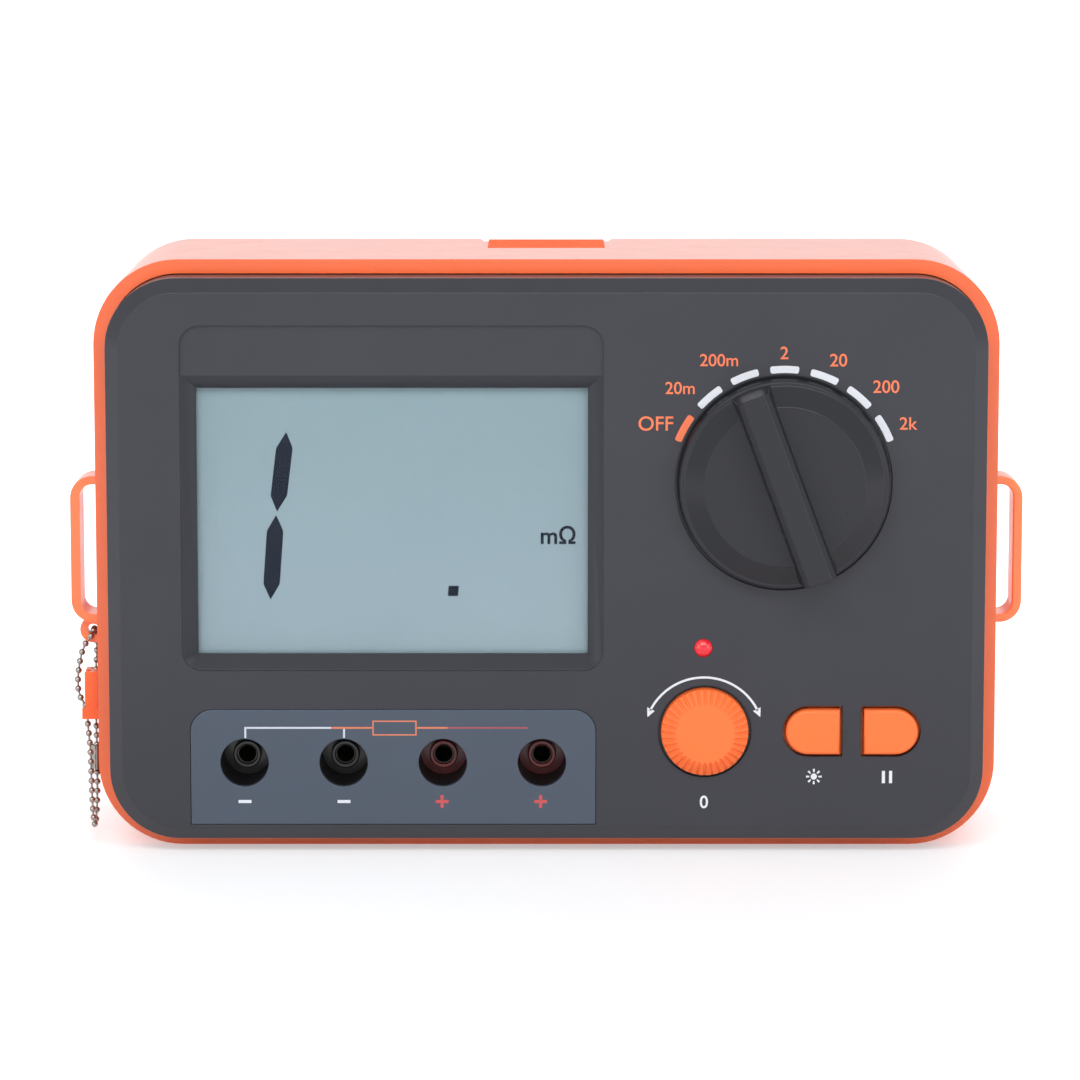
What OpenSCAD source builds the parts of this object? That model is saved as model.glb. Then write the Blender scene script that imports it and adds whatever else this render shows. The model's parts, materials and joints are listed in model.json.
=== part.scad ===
// Four-wire milliohm meter in a hand-sized upright case.
// The front cover faces -Y, +Z is up, and the case stands on its flat bottom at Z = 0.
// A depth is measured from the front cover's face towards the back.

/* [Case] */
// Width of the rear shell without its strap lugs
case_w = 202.7; // [200:0.1:215]
// Height of the case as it stands
case_h = 133.1; // [131:0.1:145]
// Depth from the cover's face to the back of the shell
case_depth = 70; // [69:0.5:84]
// Wall of the rear shell
shell_wall = 3.15; // [2.8:0.05:3.2]
// How far the shell's rim stands out beyond the front cover
rim_step = 3.35; // [3.3:0.05:3.6]
// Rounding of the shell's rear edges
back_round = 4; // [3.5:0.1:5]
// Depth of the thumb notch in the top of the shell
notch_deep = 0.8; // [0.4:0.1:1.2]
// Width of the thumb notch
notch_w = 31; // [20:1:40]
// Length of the thumb notch from the rear edge
notch_len = 29; // [16:1:40]

/* [Front cover] */
// Radius of the front cover's corners
cover_corner_r = 15.7; // [14:0.1:18]
// Height of the cover ahead of the shell's rim
cover_rise = 12; // [10:0.5:12.5]
// Length of the cover's skirt inside the shell
skirt_len = 6; // [4:0.5:8]
// Wall of the cover's sides
cover_wall = 2.6; // [2.2:0.1:3]
// Thickness of the face
face_t = 2.6; // [2.4:0.1:2.8]
// Width of the bevel round the face
bevel_w = 3.05; // [2:0.05:3.4]
// Height of the bevel round the face
bevel_d = 2.64; // [2:0.02:3.4]

/* [Display] */
// Width of the visible display
window_w = 87.15; // [80:0.05:88]
// Height of the visible display
window_h = 59.8; // [50:0.1:60.5]
// Centre of the display, to the right of the middle
display_x = -34.33; // [-35:0.01:-33.5]
// Centre of the display, above mid height
display_up = 8.75; // [8:0.05:9.5]
// Width of the slope round the display
funnel_w = 3.1; // [2.5:0.1:3.4]
// Depth of the sunk label field
field_deep = 0.8; // [0.5:0.1:1.2]
// Depth of the slope below the label field
funnel_deep = 3; // [2.4:0.1:3.2]
// Height of the label strip over the display
strip_h = 11.2; // [8:0.1:12]
// Radius of the label field's corners
field_r = 4.5; // [3:0.1:6]
// Thickness of the clear window
lens_t = 1.5; // [1:0.1:1.6]
// Thickness of the liquid crystal glass
panel_t = 2.8; // [2:0.1:2.8]
// Thickness of the light guide behind the glass
backlight_t = 3; // [2:0.1:3.2]

/* [Jacks] */
// Distance between neighbouring jacks
jack_pitch = 22.2; // [19:0.1:22.6]
// Inside diameter of a jack's well
well_dia = 10.8; // [9.5:0.1:11.2]
// Diameter of the contact bore
contact_bore_dia = 4; // [3.9:0.05:4.1]
// Length of the contact bore
contact_bore_len = 18; // [14:0.5:20]
// Depth from the face to the end of the inner tube
core_deep = 10; // [8:0.5:12]
// Outside diameter of the inner tube
core_tube_dia = 6.4; // [6.2:0.1:7]
// Width of the jack plate
plate_w = 90.7; // [86:0.1:94]
// Height of the jack plate
plate_h = 26.1; // [24:0.1:28]
// Thickness of the jack plate
plate_t = 1.5; // [1:0.1:1.8]
// Height of the jacks above the lower edge of their plate
jack_rise = 14; // [12.5:0.1:14.5]

/* [Range knob] */
// Centre of the knob, to the right of the middle
knob_x = 52.7; // [52:0.1:54]
// Centre of the knob, above mid height
knob_up = 17.85; // [16:0.05:20]
// Diameter of the knob
knob_dia = 47.4; // [46:0.1:49]
// Height of the grip bar above the face
knob_h = 15; // [13:0.5:18]
// Height of the skirt above the face
skirt_h = 4; // [3:0.1:5]
// Height of the flat on each side of the grip bar
platform_h = 7.5; // [6.5:0.1:8.5]
// Radius of the flat on each side of the grip bar
platform_r = 17.8; // [16:0.1:19]
// Width of the grip bar at its top
bar_top_w = 7.3; // [6:0.1:7.8]
// Width of the grip bar at its foot
bar_foot_w = 8.8; // [8:0.1:10]
// Angle between two positions of the dial
dial_step = 20.4; // [18:0.1:21]

/* [Zero knob] */
// Centre of the zero knob, to the right of the middle
zero_x = 35.4; // [34.5:0.1:36.5]
// Centre of the zero knob, below mid height
zero_down = 38.25; // [37:0.05:40]
// Diameter of the zero knob
zero_dia = 19.7; // [18:0.1:21]
// Diameter of its flat front
zero_flat_dia = 13.8; // [12.5:0.1:15]
// Height of the zero knob above the face
zero_h = 3.6; // [3.2:0.1:5]
// Height of its rim above the face
zero_rim_h = 1.5; // [1:0.1:2]
// Number of grooves in its shoulder
zero_grooves = 36; // [24:1:48]

/* [Buttons] */
// Middle of the two buttons, to the right of the middle
buttons_x = 68.3; // [67.5:0.1:69]
// Width of a button
button_w = 12.1; // [11.6:0.1:12.8]
// Height of a button
button_h = 10.2; // [9.5:0.1:11]
// Gap between the two buttons
button_gap = 5.4; // [4.8:0.1:5.8]
// How far a button stands out of the face
button_proud = 1.4; // [1.3:0.1:2.5]
// Travel of a button
button_travel = 1.2; // [0.8:0.1:1.4]
// Clearance round a button
button_clear = 0.65; // [0.5:0.05:0.9]

/* [Lamp] */
// Diameter of the lamp
lamp_dia = 5; // [4:0.1:5.4]
// How far the lamp's dome stands out of the face
lamp_proud = 0.9; // [0.6:0.1:1.1]
// Height of the lamp over the zero knob
lamp_over_zero = 18.9; // [17:0.1:20]

/* [Strap lugs] */
// Clear gap between the shell's side and a lug's outer bar
lug_gap = 4.35; // [4.25:0.05:6]
// Thickness of a lug's outer bar
lug_bar = 2.15; // [1.8:0.05:3]
// Thickness of a lug's upper and lower bars
lug_arm = 1.9; // [1.6:0.1:2.6]
// Height of a lug
lug_h = 33.5; // [30:0.5:40]
// Size of a lug from front to back
lug_depth = 10; // [8:0.5:12]
// Outside radius of a lug's corners
lug_r = 5; // [4:0.1:6]
// Radius of the chain's eye below the left lug
eye_r = 3; // [2.8:0.1:3.2]
// Radius of the hole in the eye
eye_hole_r = 1.3; // [1.2:0.05:1.4]

/* [Chain] */
// Diameter of a bead
bead_dia = 1.5; // [1.2:0.1:1.6]
// Distance between neighbouring beads
bead_pitch = 2.2; // [2:0.1:3]
// Diameter of the wire between the beads
chain_wire_dia = 0.5; // [0.4:0.05:0.6]

/* [Tilt stand] */
// Width of the tilt stand
stand_w = 88; // [60:1:90]
// Height of the tilt stand
stand_h = 52; // [44:0.5:52.5]
// Thickness of the tilt stand
stand_t = 4.4; // [4.2:0.1:4.6]

/* [Battery] */
// Diameter of a cell
cell_dia = 14.5; // [13.8:0.1:14.5]
// Length of a cell with its positive nub
cell_len = 50.5; // [49.5:0.1:50.5]
// Distance between the rows of cells
cell_pitch = 15.5; // [15.2:0.1:15.6]
// Length of a contact spring between its plate and the cell
contact_spring_len = 4.2; // [3.6:0.1:4.6]

/* [Circuit board] */
// Gap between the board's edge and the cover's wall
board_edge = 3.4; // [2.4:0.1:3.6]
// Thickness of the board
board_t = 1.6; // [1.2:0.1:2]
// Depth from the face to the front of the board
board_deep = 14; // [13.9:0.1:14.5]

/* [Hidden] */
$fn = 72;

// Overrun of a cut past the surface that it opens
overrun = 1;
// Small overlap that joins two shapes of one piece
lap = 0.6;
// Clearance between fixed pieces that are put together
fit_gap = 0.2;
// Clearance between a screw and its hole
screw_gap = 0.1;
// Radial clearance of a turning or sliding fit
run_gap = 0.06;
// Gap between a moving piece and the wall beside it
move_gap = 0.3;

// Case, worked out from its driving sizes
cover_w = case_w - 2 * rim_step;
cover_h = case_h - 2 * rim_step;
cover_depth = cover_rise + skirt_len;
shell_corner_r = cover_corner_r + rim_step;
mid_z = case_h / 2;
face_y = (knob_h - case_depth) / 2;
side_x = case_w / 2;
inner_back = case_depth - shell_wall;

// Thumb notch
notch_slant = 1;

// Display
display_z = mid_z + display_up;
field_margin = 0.33;
field_w = window_w + 2 * (funnel_w + field_margin);
field_low = display_z - window_h / 2 - funnel_w - field_margin;
field_high = display_z + window_h / 2 + funnel_w + strip_h;
window_deep = field_deep + funnel_deep;
lens_edge = 2.2;
lens_w = window_w + 2 * lens_edge;
lens_h = window_h + 2 * lens_edge;
lens_rim = 0.1;
pad_edge = 5.4;
panel_edge = 1.9;
panel_w = window_w + 2 * panel_edge;
panel_h = window_h + 2 * panel_edge + 1.4 * panel_edge;
panel_deep = window_deep + lens_t + 2 * screw_gap;
panel_back = panel_deep + panel_t;
frame_wall = 2.7;
frame_w = panel_w + 2 * (fit_gap + frame_wall);
frame_h = panel_h + 2 * (fit_gap + frame_wall);
frame_front = window_deep + lens_t + lens_rim + fit_gap;
strip_t = 2;
strip_w = window_w - 2 * strip_t;
strip_up = panel_h / 2 - strip_t / 2;
backlight_w = window_w - 2 * panel_edge;
backlight_h = panel_h - 4 * strip_t;
backlight_deep = panel_back + screw_gap;
shelf = 3;

// Jack plate and jacks
plate_low = rim_step + bevel_w + 0.6 * fit_gap + lap;
plate_r = 5;
plate_pad = 4.2;
plate_pad_edge = 2.2;
jack_z = plate_low + jack_rise;
jack_xs = [for (i = [0:3]) display_x + (i - 1.5) * jack_pitch];
housing_wall = 1.2;
housing_r = well_dia / 2 + housing_wall;
housing_front = plate_t + screw_gap;
housing_flange_t = 2;
housing_flange_w = 1.9;
housing_floor_t = 2;
housing_back = board_deep + board_t + 3.4 * lap * 1.0;
core_collar_t = 2;
core_tail_r = 4;
core_back = housing_back + 3;
sleeve_lip = 1.2;
sleeve_wall = 0.6;
sleeve_r = contact_bore_dia / 2 + sleeve_wall;
sleeve_front = core_deep + sleeve_lip;
sleeve_end_t = 1;
sleeve_back = sleeve_front + contact_bore_len + sleeve_end_t;
core_mouth_r = contact_bore_dia / 2 + fit_gap;
tag_t = 0.6;
tag_r = 4.2;
tag_reach = 8.6;
tag_end_r = 1.8;
link_r = 0.55;
nut_t = 2.4;
nut_r = 4.6;

// Range knob and its switch
knob_z = mid_z + knob_up;
knob_r = knob_dia / 2;
dial_places = 7;
rest_place = 2;
rest_angle = (rest_place - (dial_places - 1) / 2) * dial_step;
dial_recess = 1;
dial_clear = 0.45;
knob_draft = 0.35;
knob_rim_w = 0.7;
knob_rim_round = 0.5;
bar_reach = 22.6;
bar_reach_top = 21.9;
bar_round = 1.1;
knob_hollow_in = 8.2;
knob_hollow_out = 19.6;
knob_hollow_h = 2.4;
spigot_r = 5;
spigot_flat = 3.9;
spigot_h = 6;
hub_r = 7;
collar_r = 10;
collar_back = 5.4;
rotor_front = collar_back + fit_gap;
rotor_t = 6;
rotor_back = rotor_front + rotor_t;
rotor_r = 20;
detent_r = 21;
detent_wall_r = 25.4;
detent_back = rotor_back + fit_gap;
ball_r = 2;
ball_at = detent_r - move_gap - ball_r;
notch_r = 2.3;
notch_at = ball_at + 0.4 * ball_r;
pocket_r = ball_r + 0.07 * ball_r;
pocket_in = 9.5;
detent_spring_r = 1.55;
detent_wire_r = 0.22;
detent_turns = 5;
rotor_screw_r = 1.4;
rotor_screw_head_r = 2.7;
rotor_screw_head_t = 2;
rotor_screw_tip = 10.5;
wiper_w = 3;
wiper_t = 0.3;
wiper_arch_r = board_deep - rotor_back - wiper_t - screw_gap;
wiper_foot = 7.4;
wiper_radii_shares = [0.6, 0.75, 0.88];

// Zero knob and its potentiometer
zero_z = mid_z - zero_down;
zero_r = zero_dia / 2;
zero_well_deep = 1.3;
zero_well_clear = 0.6;
zero_draft = 0.15;
groove_r = 0.36;
pot_shaft_r = 3;
pot_bush_r = 3.6;
pot_bush_front = face_t + 2 * fit_gap;
pot_front = 7.4;
pot_r = 8.2;
pot_floor_t = 1.5;
pot_shaft_end = 2.4;
pot_lug_w = 1.6;

// Buttons and their switches
button_z = zero_z;
button_flange = 1.5;
button_flange_t = 1.2;
button_flange_front = face_t + screw_gap;
stem_r = 2.2;
stem_back = 8;
switch_w = 6;
switch_front = 10.4;
plunger_r = 1.7;
plunger_in = 1;
switch_floor_t = 0.7;
hold_x = buttons_x + (button_gap + button_w) / 2;
backlight_x = buttons_x - (button_gap + button_w) / 2;

// Lamp
lamp_x = zero_x - 2 * fit_gap;
lamp_z = zero_z + lamp_over_zero;
lamp_r = lamp_dia / 2;
lamp_dome = lamp_r - lamp_proud;
lamp_body_len = 5;
lamp_flange_r = 2.9;
lamp_flange_t = 1;
lamp_back = lamp_dome + lamp_body_len + lamp_flange_t;
lamp_lead_r = 0.25;
lamp_lead_x = 1.27;

// Board, its posts and what it carries
board_back = board_deep + board_t;
board_w = cover_w - 2 * cover_wall - 2 * board_edge;
board_h = cover_h - 2 * cover_wall - 2 * board_edge;
board_corner_r = cover_corner_r - cover_wall - board_edge;
post_r = 3;
post_clear = 3.55;
post_edge = 5.6;
board_screw_r = 1.4;
board_screw_head_r = 2.6;
board_screw_head_t = 1.8;
board_screw_tip = 7;
board_post_side = board_w / 2 - post_r - run_gap * 8;
board_post_mid = display_x + frame_w / 2 + post_r + post_clear;
board_post_end = board_h / 2 - post_edge;
post_high_share = 0.258;
post_low_left_share = -0.214;
post_low_right_share = -0.18;
board_posts = [
    [-board_post_side, mid_z + post_high_share * board_h],
    [-board_post_side, mid_z + post_low_left_share * board_h],
    [board_post_side, mid_z + post_high_share * board_h],
    [board_post_side, mid_z + post_low_right_share * board_h],
    [board_post_mid, mid_z + board_post_end], [board_post_mid, mid_z - board_post_end]
];
chip_w = 14;
chip_t = 2;
amp_w = 5;
amp_h = 4;
amp_t = 1.75;
chip_at = [display_x, mid_z + 12];
amps_at = [display_x - 26, mid_z + 12];
amp_pitch = 15;
cap_r = 4;
cap_len = 11;
cap_pitch = 12;
caps_share = 0.3;
caps_at = [knob_x - 2.5 * cap_len * 0.75, mid_z + caps_share * board_h];
resistor_r = 1.25;
resistor_len = 7;
resistor_lead_r = 0.35;
resistor_span = 10;
resistor_lift = 2.2;
resistor_pitch = 5;
resistors_at = [knob_x + 12, mid_z + 4];
fuse_r = 2.6;
fuse_len = 20;
fuse_cap_len = 5;
fuse_cap_t = 0.28;
fuse_glass_wall = 0.5;
fuse_at = [display_x + 4, mid_z - 14];
fuse_lift = 4.4;
clip_w = 4;
clip_wall = 0.9;

// Case screws and the posts that they join
case_post_in = 16.35;
case_post_down = 16.05;
case_posts = [for (sx = [-1, 1], sz = [-1, 1])
    [sx * (side_x - case_post_in), mid_z + sz * (mid_z - case_post_down)]];
cover_boss_r = 4.5;
shell_post_r = 5;
posts_meet = 22;
case_screw_r = 1.5;
case_screw_head_r = 2.9;
case_screw_head_t = 2.2;
case_screw_web = 4;
case_screw_grip = 10;
screw_well_r = 3.3;
slot_w = 0.8;
slot_deep = 0.9;

// Battery space
battery_z = mid_z - 31.8;
battery_wall = 2;
plate_metal = 0.4;
contact_plate_gap = 3.2;
space_w = 2 * cell_len + contact_spring_len + 2 * plate_metal;
space_h = 3 * cell_pitch + fit_gap;
space_front = case_depth - 19.8;
cell_deep = space_front + fit_gap + cell_dia / 2;
rebate_w = 3;
cover_plate_t = 2.4;
cover_plate_deep = case_depth - cover_plate_t;
cover_plate_w = space_w + 2 * rebate_w;
cover_plate_low = battery_z - space_h / 2 - rebate_w - 0.5 * lap;
cover_screw_up = 4.4;
cover_plate_high = battery_z + space_h / 2 + 2 * cover_screw_up;
cover_screw_z = battery_z + space_h / 2 + cover_screw_up;
rebate_pad = 3;
hook_w = 8;
hook_x = 30;
hook_out = 1.8;
hook_t = 1.5;
cover_screw_r = 1.1;
cover_screw_head_r = 2.3;
cover_screw_head_t = 1.4;
cover_screw_len = 8;
cover_boss_len = 11;
nub_r = 2.75;
nub_len = 1;
spring_wire_r = 0.35;
spring_small_r = 2.6;
spring_large_r = 4.8;
contact_spring_turns = 3;
tab_w = 4;
tab_out = 3;
lead_r = 0.8;

// Tilt stand
stand_low = cover_plate_high + 5;
stand_hinge_z = stand_low + stand_t / 2;
stand_deep = case_depth - stand_t - 2 * move_gap;
stand_hinge_deep = stand_deep + stand_t / 2;
stand_floor = stand_deep - move_gap;
stand_pin_r = 2;
stand_pin_len = 3.2;
stand_pad_t = 3.1;
stand_side_gap = 0.5;
grip_w = 24;
grip_h = 5;
stand_dish = 1.2;
stand_dish_edge = 7;

// Strap lugs and the eye
lug_front = cover_rise + 8;
lug_mid = lug_front + lug_depth / 2;
lug_out = side_x + lug_gap + lug_bar;
lug_z = mid_z - 0.15 * lap;
lug_inner_r = lug_r - lug_bar;
eye_t = 3;
eye_z = lug_z - lug_h / 2 - 0.75 * eye_r;
eye_x = side_x + 0.65 * eye_r;

// Chain: its loop is given as shares of how far it bows, spreads and drops from the eye
chain_bow = 3.6;
chain_spread = 3.4;
chain_drop = 45.5;
chain_z = eye_z - 0.25 * lap;
loop_shares = [
    [0, 0, 0], [0, -0.4, -0.002], [-0.06, -0.75, -0.016], [-0.25, -0.98, -0.042],
    [-0.52, -1, -0.068], [-0.7, -0.95, -0.105], [-0.86, -0.88, -0.16], [-0.97, -0.8, -0.22],
    [-1, -0.7, -0.29], [-0.84, -0.58, -0.345], [-0.55, -0.48, -0.385], [-0.45, -0.47, -0.42],
    [-0.45, -0.47, -0.46], [-0.4, -0.47, -0.51], [-0.3, -0.55, -0.6], [-0.24, -0.7, -0.72],
    [-0.2, -0.74, -0.85], [-0.15, -0.55, -0.95], [-0.1, 0, -1], [-0.05, 0.55, -0.95],
    [0, 0.72, -0.85], [0.02, 0.7, -0.72], [0.02, 0.6, -0.6], [0.02, 0.5, -0.51],
    [0.02, 0.47, -0.42], [0.02, 0.47, -0.32], [0.02, 0.5, -0.24], [0.06, 0.7, -0.17],
    [0.08, 0.9, -0.1], [0.06, 1, -0.055], [0, 0.75, -0.016], [0, 0.4, -0.002]
];
tag_x = -eye_x - 0.14 * chain_bow;
tag_top_share = 0.205;
tag_step_share = 0.39;
tag_low_share = 0.445;
tag_thick = 2.9;
tag_wide = 7;
tag_foot_thick = 4.2;
tag_foot_wide = 7.4;
tag_bore_r = 1.05;
tag_mouth_r = 1.3;
tag_tube_r = 1.75;
tag_tube_share = 0.5;
coupling_r = 1.2;
coupling_wall = 0.2;
coupling_top_share = 0.6;
coupling_len = 5.6;

// Basic shapes: a depth runs from the face towards the back

// Round bar along Y between two depths
module peg(x, z, d0, d1, r) {
    translate([x, face_y + d1, z]) rotate([90, 0, 0]) cylinder(h = d1 - d0, r = r);
}

// Outline in X and Z, made solid between two depths
module slab(d0, d1) {
    translate([0, face_y + d1, 0]) rotate([90, 0, 0]) linear_extrude(d1 - d0) children();
}

// Box between two places on each axis
module block(x0, x1, d0, d1, z0, z1) {
    translate([x0, face_y + d0, z0]) cube([x1 - x0, d1 - d0, z1 - z0]);
}

// Rectangle with round corners, about its centre
module rounded(w, h, r) {
    square([w - 2 * r, h], center = true);
    square([w, h - 2 * r], center = true);
    for (sx = [-1, 1], sz = [-1, 1])
        translate([sx * (w / 2 - r), sz * (h / 2 - r)]) circle(r);
}

// Rectangle whose upper corners alone are round, from its lower edge up
module arched(w, h, r) {
    translate([-w / 2, 0]) square([w, h - r]);
    translate([r - w / 2, 0]) square([w - 2 * r, h]);
    for (sx = [-1, 1]) translate([sx * (w / 2 - r), h - r]) circle(r);
}

// Plate with round corners whose front edge is bevelled by c over the depth t
module bevelled_plate(w, h, r, c, t) {
    for (sx = [-1, 1], sz = [-1, 1])
        translate([sx * (w / 2 - r), face_y + t, mid_z + sz * (h / 2 - r)])
            rotate([90, 0, 0]) cylinder(h = t, r1 = r, r2 = r - c);
    translate([r - w / 2, face_y, mid_z]) rotate([90, 0, 90]) linear_extrude(w - 2 * r)
        polygon([[0, c - h / 2], [0, h / 2 - c], [t, h / 2], [t, -h / 2]]);
    translate([0, face_y, mid_z + r - h / 2]) linear_extrude(h - 2 * r)
        polygon([[c - w / 2, 0], [w / 2 - c, 0], [w / 2, t], [-w / 2, t]]);
}

// Half outline of a block whose far edge is rounded
module soft_half(half, depth, round) {
    square([half, depth - round]);
    square([half - round, depth]);
    translate([half - round, depth - round]) circle(round);
}

// Block with round corners and a rounded back edge, from depth d0 to d1
module soft_block(w, h, r, d0, d1, round) {
    for (sx = [-1, 1], sz = [-1, 1])
        translate([sx * (w / 2 - r), face_y + d0, mid_z + sz * (h / 2 - r)])
            rotate([-90, 0, 0]) rotate_extrude() soft_half(r, d1 - d0, round);
    translate([0, face_y + d0, mid_z]) rotate([0, -90, 0]) linear_extrude(w - 2 * r, center = true)
        for (side = [0, 1]) mirror([side, 0]) soft_half(h / 2, d1 - d0, round);
    translate([0, face_y + d0, mid_z]) linear_extrude(h - 2 * r, center = true)
        for (side = [0, 1]) mirror([side, 0]) soft_half(w / 2, d1 - d0, round);
}

// Opening that narrows by c from depth d0 to d1, where it is w by h
module funnel(x, z, w, h, c, d0, d1) {
    intersection() {
        translate([x - w, face_y, z]) rotate([90, 0, 90]) linear_extrude(2 * w)
            polygon([[d0, -h / 2 - c], [d0, h / 2 + c], [d1, h / 2], [d1, -h / 2]]);
        translate([x, face_y, z - h]) linear_extrude(2 * h)
            polygon([[-w / 2 - c, d0], [w / 2 + c, d0], [w / 2, d1], [-w / 2, d1]]);
    }
}

// Screw whose head lies behind the depth of its seat, with a cross slot
module screw(x, z, seat, tip, r, head_r, head_t) {
    difference() {
        union() {
            peg(x, z, tip, seat + lap, r);
            peg(x, z, seat, seat + head_t, head_r);
        }
        for (turn = [0, 90])
            translate([x, face_y + seat + head_t, z]) rotate([0, turn, 0])
                cube([2 * head_r - slot_w, 2 * slot_deep, slot_w], center = true);
    }
}

// Frame of the range knob: X across, Y deeper, Z out along the angle
module at_knob(angle) {
    translate([knob_x, face_y, knob_z]) rotate([0, angle, 0]) children();
}

// Rings of points along a path, each square to it
function tangent(path, i) = path[min(i + 1, len(path) - 1)] - path[max(i - 1, 0)];
function unit(v) = v / norm(v);
function ring_at(p, t, side, r, n) =
    let (u = unit(side - (side * t) * t / (t * t)), v = unit(cross(t, u)))
    [for (k = [0:n - 1]) p + r * (cos(360 * k / n) * u + sin(360 * k / n) * v)];

// Round tube along a path, with the direction in which each ring starts
module tube(path, sides, r, n) {
    rings = len(path);
    points = [for (i = [0:rings - 1]) each ring_at(path[i], tangent(path, i), sides[i], r, n)];
    walls = [for (i = [0:rings - 2], k = [0:n - 1], half = [0, 1])
        let (a = i * n + k, b = i * n + (k + 1) % n)
        half == 0 ? [a, b + n, b] : [a, a + n, b + n]];
    ends = [[for (k = [0:n - 1]) k], [for (k = [n - 1:-1:0]) (rings - 1) * n + k]];
    polyhedron(points = points, faces = concat(walls, ends), convexity = 6);
}

// Coil spring along Z whose coil radius changes steadily from r0 to r1
spring_rings = 10;
spring_sides = 6;
module spring(r0, r1, length, wire_r, turns) {
    steps = turns * spring_rings;
    rise = length - 2 * wire_r;
    path = [for (i = [0:steps])
        let (share = i / steps, a = 360 * turns * share, r = r0 + (r1 - r0) * share)
        [r * cos(a), r * sin(a), wire_r + rise * share]];
    sides = [for (i = [0:steps]) let (a = 360 * turns * i / steps) [cos(a), sin(a), 0]];
    tube(path, sides, wire_r, spring_sides);
}

// Front cover: face with bevelled edge, skirt, pads, posts and the detent ring
module front_cover() {
    color([0.28, 0.285, 0.32]) difference() {
        union() {
            difference() {
                union() {
                    bevelled_plate(cover_w, cover_h, cover_corner_r, bevel_w, bevel_d);
                    slab(bevel_d, cover_depth) translate([0, mid_z])
                        rounded(cover_w, cover_h, cover_corner_r);
                }
                slab(face_t, cover_depth + overrun) translate([0, mid_z])
                    rounded(cover_w - 2 * cover_wall, cover_h - 2 * cover_wall,
                            cover_corner_r - cover_wall);
            }
            slab(face_t - lap, window_deep + lens_t + lens_rim) translate([display_x, display_z])
                square([window_w + 2 * pad_edge, window_h + 2 * pad_edge], center = true);
            block(display_x - plate_w / 2 - plate_pad_edge, display_x + plate_w / 2 + plate_pad_edge,
                  face_t - lap, plate_pad, plate_low - plate_pad_edge / 2,
                  plate_low + plate_h + plate_pad_edge);
            peg(knob_x, knob_z, face_t - lap, collar_back, collar_r);
            slab(face_t - lap, detent_back) detent_ring();
            for (p = case_posts) peg(p.x, p.y, face_t - lap, posts_meet, cover_boss_r);
            for (p = board_posts) peg(p.x, p.y, face_t - lap, board_deep, post_r);
        }
        // Sunk label field, slope and seat of the clear window
        slab(-overrun, field_deep) translate([display_x, (field_low + field_high) / 2])
            rounded(field_w, field_high - field_low, field_r);
        funnel(display_x, display_z, window_w, window_h, funnel_w, field_deep, window_deep);
        slab(field_deep, window_deep + lap) translate([display_x, display_z])
            square([window_w, window_h], center = true);
        slab(window_deep, window_deep + lens_t + lens_rim + overrun)
            translate([display_x, display_z])
                square([lens_w + fit_gap, lens_h + fit_gap], center = true);
        // Seat of the jack plate and the holes for the jacks
        slab(-overrun, plate_t) translate([display_x, plate_low - fit_gap / 2])
            arched(plate_w + fit_gap, plate_h + fit_gap, plate_r);
        for (x = jack_xs) peg(x, jack_z, 0, plate_pad + overrun, housing_r + screw_gap);
        // Range knob: sunk ring and bearing of the hub
        peg(knob_x, knob_z, -overrun, dial_recess, knob_r + dial_clear);
        peg(knob_x, knob_z, 0, collar_back + overrun, hub_r + run_gap);
        // Well and shaft of the zero knob
        peg(zero_x, zero_z, -overrun, zero_well_deep, zero_r + zero_well_clear);
        peg(zero_x, zero_z, -overrun, face_t + overrun, pot_shaft_r + 2 * fit_gap);
        // Lamp
        translate([lamp_x, face_y + lamp_dome, lamp_z]) sphere(lamp_r + screw_gap);
        peg(lamp_x, lamp_z, lamp_dome, face_t + overrun, lamp_r + screw_gap);
        // Buttons
        slab(-overrun, face_t + overrun) translate([hold_x, button_z])
            button_outline(1, button_clear);
        slab(-overrun, face_t + overrun) translate([backlight_x, button_z])
            button_outline(-1, button_clear);
        // Screw holes
        for (p = case_posts)
            peg(p.x, p.y, posts_meet - case_screw_grip - overrun, posts_meet + overrun,
                case_screw_r + screw_gap);
        for (p = board_posts)
            peg(p.x, p.y, board_screw_tip - overrun, board_deep + overrun,
                board_screw_r + screw_gap);
    }
}

// Ring of notches that the detent balls drop into
module detent_ring() {
    translate([knob_x, knob_z]) difference() {
        circle(detent_wall_r);
        circle(detent_r);
        for (i = [0:dial_places - 1], half = [0, 180])
            rotate(half - (i - (dial_places - 1) / 2) * dial_step)
                translate([0, notch_at]) circle(notch_r);
    }
}

// Button outline, round towards the given side
module button_outline(side, grow) {
    h = button_h + 2 * grow;
    straight = button_w + 2 * grow - h / 2;
    translate([side > 0 ? -button_w / 2 - grow : button_w / 2 + grow - straight, -h / 2])
        square([straight, h]);
    translate([side * (button_w / 2 + grow - h / 2), 0]) circle(h / 2);
}

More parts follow.
